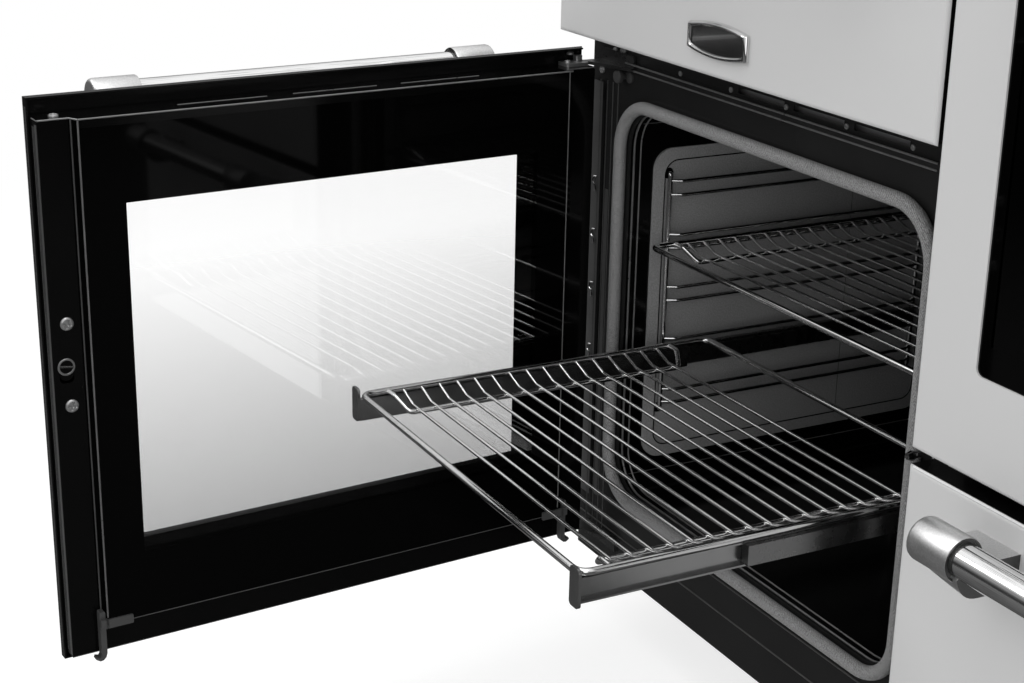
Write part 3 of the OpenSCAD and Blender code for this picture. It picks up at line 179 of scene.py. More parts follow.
# A surface of one colour, with a slight unevenness in its roughness and height
def plain(name, level, roughness, metallic=0.0, coat=0.0, wear=0.0, scale=60.0, stretch=(1, 1, 1),
          specular=0.5):
    material, s = newMaterial(name)
    cloud = s.noise(s.place(), scale, uneven["detail"], stretch)
    shade = s.colours(cloud, grey(level * (1 - wear)), grey(min(1, level * (1 + wear))))
    s.end(s.surface({
        "Base Color": shade, "Metallic": metallic, "Specular IOR Level": specular,
        "Roughness": (cloud - 0.5) * (roughness * uneven["roughShare"]) + roughness,
        "Coat Weight": coat, "Coat Roughness": uneven["coatRough"],
        "Normal": s.bump(cloud, uneven["bump"], uneven["high"])}))
    return material


print("materials")
frontGrey = 0.52
lightEnamel = plain("light_enamel", frontGrey, 0.5, wear=0.01, scale=300, specular=0.2)
blackEnamel = plain("black_enamel", 0.0015, 0.13, wear=0.3, scale=14, specular=0.2)
# Painted light: the frame takes a lighter copy of the black enamel that the trays and cavities wear
frameEnamel = plain("frame_enamel", 0.013, 0.22, wear=0.25, scale=14, specular=0.22)
# Painted highlight: a bright metal for thin lines on black enamel edges, in place of their highlights
highlightEnamel = plain("enamel_edge_painted_highlight", 0.24, 0.3, metallic=0.7, wear=0.3, scale=70)
# Painted sheen: a lighter black for strips, folds and clips, in place of the light on black enamel
sheenEnamel = plain("enamel_edge_painted_sheen", 0.05, 0.35, wear=0.25, scale=40, specular=0.4)
chrome = plain("chrome_wire", 0.72, 0.12, metallic=1.0, wear=0.04, scale=120)
ballSteel = plain("striker_steel", 0.5, 0.14, metallic=1.0, wear=0.05, scale=90)
printWhite = plain("dial_print", 0.75, 0.5, wear=0.02)
printGrey = plain("zone_print", 0.22, 0.35, wear=0.05)
seamGrey = plain("seal_seam", 0.05, 0.7, wear=0.2, scale=200)
railSteel = plain("rail_steel", 0.30, 0.24, metallic=1.0, wear=0.12, scale=90)
runnerSteel = plain("runner_steel", 0.19, 0.28, metallic=1.0, wear=0.12, scale=90)
zinc = plain("zinc_steel", 0.46, 0.38, metallic=0.85, wear=0.08, scale=35)
darkSteel = plain("dark_steel", 0.10, 0.28, metallic=0.9, wear=0.1, scale=80)
stainless = plain("stainless_trim", 0.55, 0.26, metallic=1.0, wear=0.05, scale=160, stretch=(0.05, 6, 6))
rubber = plain("foot_rubber", 0.03, 0.7, wear=0.1)
darkPlastic = plain("dark_plastic", 0.012, 0.18, coat=0.3, wear=0.05)
hobBlack = plain("hob_glass_black", 0.006, 0.06, coat=0.6, wear=0.05, scale=10)


capLook = {"streak": 700.0, "grain": 1400.0, "dark": 0.5, "light": 0.84, "shade": 0.11, "rough": 0.3,
           "span": 0.18}


# Brushed metal; the ends that face the handle's middle get a painted shade, a dark colour
def brushedCap(name, along, middle):
    material, s = newMaterial(name)
    place = s.place()
    streaks = s.noise(place, capLook["streak"], 4.0)
    grain = s.noise(place, capLook["grain"], 2.0)
    facing = s.dot(s.make("NewGeometry", out="True Normal"), along)
    # Painted shade: the end faces turned towards the handle's middle take the dark shade colour
    ends = (facing * s.dot(s.away(place, middle), along).maths("SIGN")).below(-0.98)
    metal = s.shades(streaks, capLook)
    s.end(s.surface({
        "Base Color": s.colours(ends, metal, grey(capLook["shade"])), "Metallic": 1.0,
        "Roughness": streaks * capLook["span"] + capLook["rough"], "Normal": s.bump(grain, 0.3, 0.3 * mm)}))
    return material


barLook = {"squash": 0.985, "lines": 1300.0, "dark": 0.6, "light": 0.86, "rough": 0.05, "span": 0.08}


# Mirror bright, with fine lines along the bar: the noise is stretched that way
def drawnBar(name, along):
    material, s = newMaterial(name)
    place = s.place()
    onAxis = s.make("VectorMath", {0: place, 1: along}, operation="PROJECT")
    squash = [-barLook["squash"]] * 3
    drawn = s.make("VectorMath", {0: onAxis, 1: squash, 2: place}, operation="MULTIPLY_ADD")
    lines = s.noise(drawn, barLook["lines"], 3.0)
    s.end(s.surface({
        "Base Color": s.shades(lines.ramp(0.36, 0.5), barLook),
        "Metallic": 1.0, "Roughness": lines * barLook["span"] + barLook["rough"]}))
    return material


linerLook = {"speckle": 900.0, "cloud": 9.0, "dark": 0.21, "light": 0.30, "rough": 0.42, "span": 0.2}


def linerEnamel():
    material, s = newMaterial("liner_enamel")
    place = s.place()
    speckle = s.noise(place, linerLook["speckle"], 2.0)
    cloud = s.noise(place, linerLook["cloud"], 3.0)
    s.end(s.surface({
        "Base Color": s.shades(speckle.ramp(0.35, 0.65), linerLook),
        "Roughness": cloud * linerLook["span"] + linerLook["rough"],
        "Normal": s.bump(speckle, 0.3, 0.4 * mm)}))
    return material


sealLook = {"weave": 260.0, "fluff": 1100.0, "weaveShare": 0.15, "dark": 0.07, "light": 0.30, "rough": 0.66}


def wovenSeal():
    material, s = newMaterial("woven_seal")
    place = s.place()
    weave = s.make("TexWave", {"Vector": place, "Scale": sealLook["weave"], "Distortion": 4.0, "Detail": 2.0},
                   wave_type="BANDS", bands_direction="DIAGONAL")
    fluff = s.noise(place, sealLook["fluff"], 3.0)
    fibre = weave * sealLook["weaveShare"] + fluff * (1 - sealLook["weaveShare"])
    s.end(s.surface({
        "Base Color": s.shades(fibre.ramp(0.3, 0.7), sealLook),
        "Roughness": sealLook["rough"], "Normal": s.bump(fibre, 0.5, 0.6 * mm)}))
    return material


skinLook = {"foldFrom": 2.8, "foldTo": 3.2, "fold": 0.004, "rough": 0.5, "foldSpan": -0.3, "peel": 260.0}


# Light on its face; the folds behind it and its inner side are painted near black as shade; inward points from
# the face into the door
def doorSkin(name, origin, inward):
    material, s = newMaterial(name)
    depth = s.dot(s.away(s.place(), origin), inward)
    inner = s.dot(s.make("NewGeometry", out="True Normal"), inward).above(0.3)
    # Painted shade: the folds deeper than the front and the inner side turn near black
    fold = depth.ramp(skinLook["foldFrom"] * mm, skinLook["foldTo"] * mm).maths("MAXIMUM", inner)
    peel = s.noise(s.place(), skinLook["peel"], 2.0)
    s.end(s.surface({
        "Base Color": s.colours(fold, grey(frontGrey), grey(skinLook["fold"])), "Specular IOR Level": 0.2,
        "Roughness": fold * skinLook["foldSpan"] + skinLook["rough"],
        "Normal": s.bump(peel, 0.03, 0.3 * mm)}))
    return material


# Millimetres: the window's borders, where the painted shade starts under its top, the depth between the panes,
# and where the inner pane starts to mirror over its bottom
glass = {"side": 68.0, "low": 98.0, "mainTop": 86.5, "rightTop": 86.0, "shade": 58.0, "between": 20.0,
         "mirrorFrom": 14.0, "ior": 1.45, "edge": 0.5, "print": 0.0008}


# Glass with a black print round its window, whose tint is painted darker towards its bottom as shade; axes
# gives the door's corner, its way across and its way inward
def printedGlass(name, axes, width, top, highTint, lowTint, mirror):
    material, s = newMaterial(name)
    place = s.away(s.place(), axes["origin"])
    across, depth, up = s.dot(place, axes["across"]), s.dot(place, axes["inward"]), s.parts(place)[2]
    x0, x1, z0, z1 = (v * mm for v in (glass["side"], width - glass["side"], glass["low"], top))
    inside = across.above(x0) * across.below(x1) * up.above(z0) * up.below(z1)
    gloss = s.make("BsdfGlossy", {"Color": grey(1.0), "Roughness": 0.01})
    edge = s.make("Fresnel", {"IOR": glass["ior"]})
    start = z1 - glass["shade"] * mm
    # Painted shade: the window's tint darkens from the shade's start down to its bottom
    paintedShadeRamp = (up * (-1 / (start - z0))).maths("ADD", start / (start - z0), clamp=True)
    innerPane = depth.above(glass["between"] * mm) * up.above(z0 + glass["mirrorFrom"] * mm)
    reflected = paintedShadeRamp * innerPane * mirror + edge * glass["edge"]
    high, low = (s.make("BsdfTransparent", {"Color": grey(tint)}) for tint in (highTint, lowTint))
    clear = s.mixed(reflected, s.mixed(paintedShadeRamp, high, low), gloss)
    black = s.surface({"Base Color": grey(glass["print"]), "Roughness": 0.04, "Specular IOR Level": 0.12})
    s.end(s.mixed(inside, black, clear))
    return material


def frostedLamp():
    material, s = newMaterial("lamp_glass")
    s.end(s.surface({"Base Color": grey(0.8), "Roughness": 0.25, "Coat Weight": 0.5,
                     "Normal": s.bump(s.noise(s.place(), 400.0), 0.1, 0.3 * mm)}))
    return material


liner, seal, lampGlass = linerEnamel(), wovenSeal(), frostedLamp()
acrossX, inY = (1, 0, 0), (0, 1, 0)
mainAxes = {"origin": tuple(openDoor.translation), "across": (math.cos(doorOpen), -math.sin(doorOpen), 0),
            "inward": (math.sin(doorOpen), math.cos(doorOpen), 0)}
rightAxes = {"origin": rightLow, "across": acrossX, "inward": inY}
drawerBar, doorBar = drawnBar("drawn_bar_across", acrossX), drawnBar("drawn_bar_deep", mainAxes["across"])
capMetal = brushedCap("brushed_cap_right", acrossX, (rightX + rightW / 2, skinY, 0))
grillCap = brushedCap("brushed_cap_grill", acrossX, (leftX + leftW / 2, skinY, 0))
doorCap = brushedCap("brushed_cap_door", mainAxes["across"], openDoor @ Vector((leftW / 2, 0, 0)))
mainSkin = doorSkin("main_door_skin_enamel", mainAxes["origin"], mainAxes["inward"])
frontSkin = doorSkin("front_skin_enamel", (0, skinY, 0), inY)
mainGlass = printedGlass("main_door_print", mainAxes, leftW, mainH - glass["mainTop"], 1.0, 0.875, 0.2)
rightGlass = printedGlass("right_door_print", rightAxes, rightW, rightH - glass["rightTop"], 0.05, 0.03, 0.0)

looks = {
    frameEnamel: ["front_frame"],
    blackEnamel: ["main_cavity", "right_cavity", "grill_cavity", "main_fan_cover", "main_door_tray",
                  "right_door_tray", "grill_door_tray", "grill_pan"],
    lightEnamel: ["left_side_panel", "right_side_panel", "control_panel"],
    frontSkin: ["right_door_skin", "grill_door_skin", "drawer_front"],
    mainSkin: ["main_door_skin"],
    mainGlass: ["main_door_glass"],
    rightGlass: ["right_door_glass"],
    zinc: ["rear_panel", "base_tray", "hob_heaters", "main_fan", "main_fan_motor", "drawer_box",
           "drawer_rails"],
    darkSteel: ["heating_elements", "door_hinges"],
    runnerSteel: ["runner_outers", "runner_middles"],
    railSteel: ["runner_inners"],
    chrome: ["main_racks", "right_racks", "pull_shelf", "upper_shelf", "right_shelf"],
    ballSteel: ["door_catch"],
    stainless: ["hob_frame", "rear_vent", "clock_button_minus", "clock_button_plus",
                *(f"knob_{i}" for i in range(1, 8))],
    capMetal: ["drawer_handle_ends", "right_door_handle"],
    grillCap: ["grill_door_handle"],
    doorCap: ["main_handle_ends"],
    doorBar: ["main_handle_bar"],
    drawerBar: ["drawer_handle_bar"],
    seal: ["main_gasket", "right_gasket"],
    liner: ["main_liners"],
    hobBlack: ["hob_glass"],
    darkPlastic: ["clock_module"],
    rubber: ["levelling_feet"],
    lampGlass: ["oven_lamps"],
}
for material, names in looks.items():
    for name in names:
        for slot in nodes[name].material_slots:
            slot.link = "OBJECT"
            slot.material = material
missing = set(nodes) - {n for names in looks.values() for n in names}
print("nodes without a look:", sorted(missing))


# Shapes: drawn in millimetres, then set in metres

# Points and faces gathered from simple solids
class Shape:

    def __init__(self):
        self.points, self.faces = [], []

    def add(self, points, faces):
        base = len(self.points)
        self.points += [Vector(p) for p in points]
        self.faces += [tuple(base + i for i in face) for face in faces]
        return self

    # Skin over rings of equally many points; looped joins the last ring to the first
    def loft(self, rings, ends=True, looped=False):
        count, sides = len(rings), len(rings[0])
        faces = []
        for i in range(count if looped else count - 1):
            near, far = i * sides, (i + 1) % count * sides
            faces += [(near + k, near + (k + 1) % sides, far + (k + 1) % sides, far + k) for k in range(sides)]
        if ends:
            faces += [tuple(range(sides))[::-1], tuple((count - 1) * sides + k for k in range(sides))]
        return self.add([p for ring in rings for p in ring], faces)

    # A round wire along a path: each ring stands across its bend
    def tube(self, path, radius, sides=14, closed=False):
        path = [Vector(p) for p in path]
        count = len(path)
        runs = [(path[(i + 1) % count] - path[i]).normalized() for i in range(count if closed else count - 1)]
        rings, side = [], runs[0].orthogonal().normalized()
        for i, centre in enumerate(path):
            ahead = runs[i % len(runs)] if closed or i < len(runs) else runs[-1]
            behind = runs[i - 1] if closed or i > 0 else ahead
            along = (ahead + behind).normalized()
            side = (side - along * side.dot(along)).normalized()
            rings.append(circle(centre, side, along.cross(side), radius, sides))
        return self.loft(rings, not closed, closed)

    # The profile is a list of (radius, distance along the axis)
    def lathe(self, profile, place, axis, sides=40):
        axis, side, up = axesFrom(axis)
        place = Vector(place)
        return self.loft([circle(place + axis * h, side, up, radius, sides) for radius, h in profile])

    # A pan head with a cross in it: rings of points under a dome, let down inside the cross
    def screw(self, place, axis, radius, height, turn=0.3, sides=36):
        axis, side, up = axesFrom(axis)
        place = Vector(place)
        rings = []
        for share, rise in screwHead["rings"]:
            ring = []
            for k in range(sides):
                a = math.tau * k / sides
                arm = share * min(abs(math.cos(a - turn)), abs(math.sin(a - turn)))
                inCross = share < screwHead["reach"] and arm < screwHead["arm"]
                lift = height * (rise - (screwHead["deep"] if inCross else 0.0))
                ring.append(place + axis * lift + radius * share * (math.cos(a) * side + math.sin(a) * up))
            rings.append(ring)
        base = len(self.points)
        self.loft(rings, ends=False)
        last, centre = base + (len(rings) - 1) * sides, len(self.points)
        self.points.append(place + axis * height * (1 - screwHead["deep"]))
        self.faces += [(last + k, last + (k + 1) % sides, centre) for k in range(sides)]
        self.faces.append(tuple(base + k for k in range(sides))[::-1])
        return self

    # A flat outline pushed along one axis: 0 is X, 1 is Y, 2 is Z
    def prism(self, outline, low, high, axis=1):
        rings = [[(*point[:axis], level, *point[axis:]) for point in outline] for level in (low, high)]
        return self.loft(rings)

    def build(self, name, material, slot, body="cooker", matrix=None, replaces=(), smooth=35):
        mesh = bpy.data.meshes.new(name)
        mesh.from_pydata([tuple(p) for p in self.points], [], self.faces)
        mesh.transform(Matrix.Scale(mm, 4) @ (matrix or Matrix.Identity(4)))
        work = bmesh.new()
        work.from_mesh(mesh)
        bmesh.ops.recalc_face_normals(work, faces=work.faces)
        work.to_mesh(mesh)
        work.free()
        mesh.shade_smooth()
        mesh.set_sharp_from_angle(angle=math.radians(smooth))
        mesh.materials.append(material)
        piece = bpy.data.objects.new(name, mesh)
        bpy.context.scene.collection.objects.link(piece)
        if replaces:
            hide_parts(*replaces)
        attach(piece, body)


# Shares of a screw head's radius and height
screwHead = {"rings": ((1.0, 0.0), (1.0, 0.45), (0.9, 0.78), (0.72, 0.93), (0.6, 0.98), (0.5, 1.0), (0.34, 1.0),
                       (0.18, 1.0)), "reach": 0.62, "arm": 0.14, "deep": 0.55}


def axesFrom(axis):
    axis = Vector(axis).normalized()
    side = axis.orthogonal().normalized()
    return axis, side, axis.cross(side)


def circle(centre, side, up, radius, sides):
    turns = [math.tau * k / sides for k in range(sides)]
    return [centre + radius * (math.cos(a) * side + math.sin(a) * up) for a in turns]


def bezier(start, bend, end, steps):
    shares = [k / steps for k in range(steps + 1)]
    return [start * (1 - t) ** 2 + bend * 2 * t * (1 - t) + end * t ** 2 for t in shares]


# The same path with an arc at each bend
def roundedPath(points, radius, steps=6, closed=False):
    points = [Vector(p) for p in points]
    count = len(points)
    path = []
    for i, corner in enumerate(points):
        if not closed and i in (0, count - 1):
            path.append(corner)
            continue
        before = points[i - 1] - corner
        after = points[(i + 1) % count] - corner
        cutBack = min(radius / math.tan(before.angle(after) / 2), before.length * 0.49, after.length * 0.49)
        start, end = corner + before.normalized() * cutBack, corner + after.normalized() * cutBack
        path += bezier(start, corner, end, steps)
    return path


def roundedRect(x0, z0, x1, z1, radius, steps=8):
    outline = []
    for cx, cz, turn in ((x1 - radius, z1 - radius, 0), (x0 + radius, z1 - radius, 90),
                         (x0 + radius, z0 + radius, 180), (x1 - radius, z0 + radius, 270)):
        for k in range(steps + 1):
            a = math.radians(turn + 90 * k / steps)
            outline.append((cx + radius * math.cos(a), cz + radius * math.sin(a)))
    return outline
def rectangle(x0, z0, x1, z1):
    return [(x0, z0), (x1, z0), (x1, z1), (x0, z1)]

# Wire shelves and side racks

print("shelves and racks")
# The frame's wires lie "top" below the solid's top, the side wires "under" the cross wires
shelf = {"frame": 3.0, "cross": 1.5, "side": 2.4, "pitch": 17.8, "count": 16, "first": 40.0, "dip": 8.0,
         "in": 31.0, "corner": 12.0, "bend": 7.0, "dipShare": 0.75, "riseShare": 0.8, "under": 3.12,
         "top": 2.99}


# A shelf over its plain solid: frame, dipped cross wires and the two side wires they lie on
def wireShelf(node, body):
    low, high = boxOf(node)
    edge, first, dip, inner = shelf["frame"], shelf["first"], -shelf["dip"], shelf["in"]
    width, depth = high[0] - low[0] - 2 * edge, high[1] - low[1] - 2 * edge
    s = Shape()
    outline = [(0, 0, 0), (width, 0, 0), (width, depth, 0), (0, depth, 0)]
    s.tube(roundedPath(outline, shelf["corner"], closed=True), edge, closed=True)
    dipIn = inner * shelf["dipShare"]
    for i in range(shelf["count"]):
        y = first + i * shelf["pitch"]
        s.tube(roundedPath([(0, y, 0), (dipIn, y, dip), (width - dipIn, y, dip), (width, y, 0)], shelf["bend"]),
               shelf["cross"], 12)
    end = first + (shelf["count"] - 1) * shelf["pitch"]
    rise = shelf["pitch"] * shelf["riseShare"]
    under = dip - shelf["under"]
    for x, turn in ((0, 1), (width, -1)):
        half, full = x + turn * inner / 2, x + turn * inner
        s.tube(roundedPath([(x, first - rise, 0), (half, first - rise, 0), (full, first - rise / 2, under),
                            (full, end + rise / 2, under), (half, end + rise, 0), (x, end + rise, 0)],
                           shelf["bend"]), shelf["side"], 12)
    corner = Matrix.Translation((low[0] + edge, low[1] + edge, high[2] - shelf["top"]))
    s.build(f"{node}_wires", chrome, "chrome_wire", body, corner, [node])


rack = {"hook": 2.5, "level": 2.0, "post": 4.3, "reach": 10.0, "bendIn": 11.0, "inWall": 0.2, "hookBend": 4.0,
        "levelBend": 6.0, "firstLevel": 9.05, "levelPitch": 52.6, "pair": 13.4, "postIn": 2.49, "hookIn": 2.35}


# Two uprights hooked to each wall, with pairs of level wires that stand off them
def sideRacks(name, node, levels):
    low, high = boxOf(node)
    front, back = low[1] + rack["postIn"], high[1] - rack["postIn"]
    hookLow, hookHigh = low[2] + rack["hookIn"], high[2] - rack["hookIn"]
    post, reach, bendIn, inWall = rack["post"], rack["reach"], rack["bendIn"], rack["inWall"]
    s = Shape()
    for wall, turn in ((low[0], 1), (high[0], -1)):
        for y in (front, back):
            upright = [(inWall, hookHigh), (post, hookHigh), (post, hookLow), (inWall, hookLow)]
            s.tube(roundedPath([(wall + turn * x, y, z) for x, z in upright], rack["hookBend"]), rack["hook"])
        for z in (high[2] - rack["firstLevel"] - i * rack["levelPitch"] - k * rack["pair"]
                  for i in range(levels) for k in (0, 1)):
            level = [(post, front), (reach, front + bendIn), (reach, back - bendIn), (post, back)]
            s.tube(roundedPath([(wall + turn * x, y, z) for x, y in level], rack["levelBend"]), rack["level"])
    s.build(name, chrome, "chrome_wire", replaces=[node])


wireShelf("pull_shelf", "sliding_shelf")
wireShelf("upper_shelf", "wire_shelf")
wireShelf("right_shelf", "cooker")
sideRacks("main_rack_wires", "main_racks", 5)
sideRacks("right_rack_wires", "right_racks", 4)


# Main door: screws, catch socket, glass clips and rolled edges

print("door details")
# Seen from the door's lower hinge corner
doorParts = {"rim": 29.5, "face": 38.5, "side": 528.0, "top": 478.5, "low": 9.0, "packLeft": 498.0,
             "packRight": 32.0, "packLow": 44.0}


def onDoor(shape, name, material, slot="black_enamel"):
    shape.build(name, material, slot, "main_door", openDoor)


doorScrew = {"across": 514.5, "ups": (310.3, 239.2), "head": (5.6, 2.2), "top": (511.0, 19.0),
             "topHead": (4.2, 2.0)}


def doorScrews():
    s = Shape()
    for up in doorScrew["ups"]:
        s.screw((doorScrew["across"], doorParts["rim"], up), inY, *doorScrew["head"], turn=0.5)
    s.screw((*doorScrew["top"], doorParts["top"]), (0, 0, 1), *doorScrew["topHead"])
    onDoor(s, "main_door_screws", zinc, "zinc_steel")


socket = {"in": 13.0, "up": 273.5, "plate": (5.9, 11.9, 5.8), "plateFrom": 28.0, "plateTo": 29.4,
          "ringFrom": 29.3, "ring": [(7.4, 0), (7.4, 0.5), (6.9, 0.9), (5.9, 0.9), (5.6, 0.5), (5.6, 0)],
          "barHalf": 5.4, "barTilt": 0.8, "barDepth": 29.6, "bar": 1.1}


def catchSocket():
    across, up = leftW - socket["in"], socket["up"]
    halfX, halfZ, corner = socket["plate"]
    outline = roundedRect(across - halfX, up - halfZ, across + halfX, up + halfZ, corner)
    plate = Shape().prism(outline, socket["plateFrom"], socket["plateTo"])
    onDoor(plate, "main_door_socket_plate", blackEnamel)
    ring = Shape().lathe(socket["ring"], (across, socket["ringFrom"], up), inY)
    # Painted highlight: the ring is drawn in the highlight enamel
    onDoor(ring, "main_door_socket_ring", highlightEnamel)
    half, tilt = socket["barHalf"], socket["barTilt"]
    ends = [(across + turn * half, socket["barDepth"], up + turn * tilt) for turn in (-1, 1)]
    onDoor(Shape().tube(ends, socket["bar"]), "main_door_socket_bar", darkSteel, "zinc_steel")


clip = {"hook": [(505.0, 48.5), (504.3, 49.5), (500.6, 49.5), (500.0, 48.5), (500.0, 10.0), (501.2, 6.0),
        (503.6, 3.7), (506.6, 3.2), (510.3, 5.6), (509.4, 7.6), (506.4, 6.6), (505.2, 8.0), (505.0, 10.0)],
        "hookFrom": 30.2, "hookTo": 37.4, "arm": (476.0, 500.5), "elbow": (498.0, 505.0), "low": 34.4,
        "high": 42.6, "thick": 2.0, "elbowFrom": 36.0}


# An L over each lower corner of the inner glass, with a hook round the tray's bottom
def glassClips():
    s = Shape()
    face = doorParts["face"]
    for start, turn in ((0.0, 1), (leftW, -1)):
        s.prism([(start + turn * u, z) for u, z in clip["hook"]], clip["hookFrom"], clip["hookTo"])
        for span, back, radius in ((clip["arm"], face, 1.0), (clip["elbow"], clip["elbowFrom"], 0.8)):
            low, high = sorted(start + turn * u for u in span)
            s.prism(roundedRect(low, clip["low"], high, clip["high"], radius, 3), back, face + clip["thick"])
    # Painted sheen: the clips take the lighter sheen enamel
    onDoor(s, "main_door_glass_clips", sheenEnamel)


# Thin lines along the tray's rolled edges, painted highlights and sheen; top, glass and rim say how deep they
# lie in those edges
doorLine = {"top": 0.4, "glass": 0.3, "rim": 0.2, "step": 3.6, "stepOut": 2.2, "cornerFrom": 16.5,
            "hingeEnd": 3.0, "bevel": 4.0, "glassLow": 37.4, "skinDepths": (6.0, 9.5),
            "skinSpan": (8.0, 486.0), "sideDepths": (19.0, 22.0), "strip": (5.4, 0.5), "slotDepth": 20.6,
            "slotPitch": 0.195, "slotHalf": 0.075}


def doorEdges():
    line = doorLine
    side, top, rim, face = doorParts["side"], doorParts["top"], doorParts["rim"], doorParts["face"]
    left, right, low, packLow = (doorParts[k] for k in ("packLeft", "packRight", "low", "packLow"))
    up, front, back, fold = top - line["top"], face - line["glass"], rim - line["rim"], right + line["step"]
    # Painted highlight: bright lines of the highlight enamel along the tray's edges
    bright = Shape()
    bright.tube([(left, front, packLow), (left, front, top - 1)], 0.8)
    bright.tube([(left, front, up), (right, front, up)], 0.7)
    bright.tube([(side - 0.4, back, up), (left + line["bevel"], back, up), (left, front, up)], 0.7)
    bright.tube([(right, back, up), (line["hingeEnd"], back, up)], 0.6)
    bright.tube([(fold, face - 0.1, packLow), (fold, face - 0.1, top - 1)], 0.6, 10)
    bright.tube([(side - 0.3, line["cornerFrom"], up), (side - 0.3, rim, up)], 0.5)
    onDoor(bright, "main_door_bright_edges", highlightEnamel)
    # Painted sheen: strips and ridges of the lighter sheen enamel
    dull = Shape()
    y0, y1 = (rim - depth for depth in line["strip"])
    dull.prism(rectangle(y0, low + 2, y1, top - 4), side - 0.2, side + 0.25, axis=0)
    for depth in line["skinDepths"]:
        dull.tube([(leftW, depth, z) for z in line["skinSpan"]], 0.45, 10)
    for depth in line["sideDepths"]:
        dull.tube([(side, depth, low + 4), (side, depth, top - 6)], 0.45, 10)
    dull.tube([(left + line["step"], rim + line["stepOut"], z) for z in (packLow, top - 1)], 0.7, 10)
    dull.tube([(x, face - 0.4, line["glassLow"]) for x in (left, right)], 0.6, 10)
    dull.tube([(x, rim - 0.3, low + 0.4) for x in (side - 0.5, line["bevel"])], 0.5, 10)
    onDoor(dull, "main_door_edge_strips", sheenEnamel)
    slots = Shape()
    for k in (-1, 0, 1):
        middle, half = leftW * (0.5 + line["slotPitch"] * k), leftW * line["slotHalf"]
        slots.tube([(x, line["slotDepth"], top + 0.1) for x in (middle - half, middle + half)], 0.35, 8)
    # Painted highlight: the slots' edges are bright lines of the highlight enamel
    onDoor(slots, "main_door_slot_edges", highlightEnamel)


doorScrews()
catchSocket()
glassClips()
doorEdges()


# Front frame: beads, screws, folds and clips of the hinge side, duct behind the slots

print("frame details")
framePlace = Matrix.Translation((leftX, frameY, grillLow[2]))
outward = (0, -1, 0)


def onFrame(shape, name, material, slot="black_enamel"):
    shape.build(name, material, slot, "cooker", framePlace)


bead = {"ups": (-23.6, -28.9), "from": 58.0, "to": 492.0, "out": -2.7, "radius": 0.9, "stubHalf": 6.0,
        "stubUp": -34.0, "stubOut": -0.2, "stub": 0.8}
fold = {"column": (3.0, 16.5), "flat": (24.0, 34.0, 43.5), "columnOut": -3.0, "flatOut": -0.1,
        "radius": 0.7, "top": -46.0, "low": -500.0, "rib": (26.0, -468.0, 32.0, -150.0), "ribOut": -0.6,
        "rails": ((0, -495.0), (60.0, -464.0)), "rail": 0.8, "strip": (2.0, -470.0, 20.5, -48.0),
        "stripOut": -3.25}


def frameBeads():
    s = Shape()
    for up in bead["ups"]:
        s.tube([(bead["from"], bead["out"], up), (bead["to"], bead["out"], up)], bead["radius"], 10)
    s.tube([(bead["from"] + turn * bead["stubHalf"], bead["stubOut"], bead["stubUp"]) for turn in (-1, 1)],
           bead["stub"], 10)
    # Painted highlight: the beads are drawn in the highlight enamel
    onFrame(s, "frame_beads", highlightEnamel)
    folds = Shape()
    for places, out in ((fold["column"], fold["columnOut"]), (fold["flat"], fold["flatOut"])):
        for across in places:
            folds.tube([(across, out, fold["top"]), (across, out, fold["low"])], fold["radius"], 10)
    folds.prism(rectangle(*fold["rib"]), fold["ribOut"], 0.0)
    for start, up in fold["rails"]:
        folds.tube([(start, 0, up), (bead["to"], 0, up)], fold["rail"], 10)
    # Painted sheen: the folds and rails are drawn in the lighter sheen enamel
    onFrame(folds, "frame_folds", sheenEnamel)


frameScrew = {"first": 69.1, "pitch": 78.35, "count": 6, "up": -18.4, "small": (2.4, 1.4), "large": (4.2, 2.0),
              "largeAt": ((13.6, -37.0), (36.0, -17.0), (50.0, -14.0)), "side": (4.0, 1.8),
              "sideAt": ((510.0, -160.0), (510.0, -420.0))}


def frameScrews():
    s = Shape()
    for k in range(frameScrew["count"]):
        across = frameScrew["first"] + k * frameScrew["pitch"]
        s.screw((across, 0, frameScrew["up"]), outward, *frameScrew["small"])
    for size, turn in (("large", 0.1), ("side", 0.8)):
        for across, up in frameScrew[size + "At"]:
            s.screw((across, 0, up), outward, *frameScrew[size], turn=turn)
    onFrame(s, "frame_screws", zinc, "zinc_steel")


peg = {"up": -36.5, "across": 54.7, "baseAcross": 64.0, "base": [(5.4, 0), (5.4, 1.6), (4.6, 2.0), (0.5, 2.0)],
       "head": [(3.0, 0), (3.0, 5.0), (6.0, 5.6), (6.4, 6.4), (6.4, 9.0), (5.6, 10.0), (0.5, 10.4)]}


def framePeg():
    s = Shape()
    s.lathe(peg["head"], (peg["across"], 0, peg["up"]), outward)
    s.lathe(peg["base"], (peg["baseAcross"], 0, peg["up"]), outward)
    onFrame(s, "frame_bumper", rubber, "foot_rubber")


frameClip = {"across": 12.3, "ups": (-147.5, -200.0, -254.0, -318.0), "bend": 2.2, "wire": 1.0,
             "path": ((2.5, -3.4, 7.0), (-1.5, -4.6, 7.0), (-2.0, -5.0, 2.0), (2.5, -5.0, -1.0),
             (2.5, -4.6, -6.0), (-1.5, -3.4, -7.0))}


def frameClips():
    s = Shape()
    for up in frameClip["ups"]:
        path = [(frameClip["across"] + x, y, up + z) for x, y, z in frameClip["path"]]
        s.tube(roundedPath(path, frameClip["bend"]), frameClip["wire"], 10)
    onFrame(s, "frame_clips", chrome, "zinc_steel")


duct = {"front": (222.0, -22.5, 470.0, -11.5), "from": 6.0, "to": 7.0}


def ventDuct():
    s = Shape().prism(rectangle(*duct["front"]), duct["from"], duct["to"])
    onFrame(s, "vent_duct", zinc, "zinc_steel")


frameBeads()
frameScrews()
framePeg()
frameClips()
ventDuct()


# Blank plaque on the grill's door: a chrome rim with an arched top and bottom round a black face

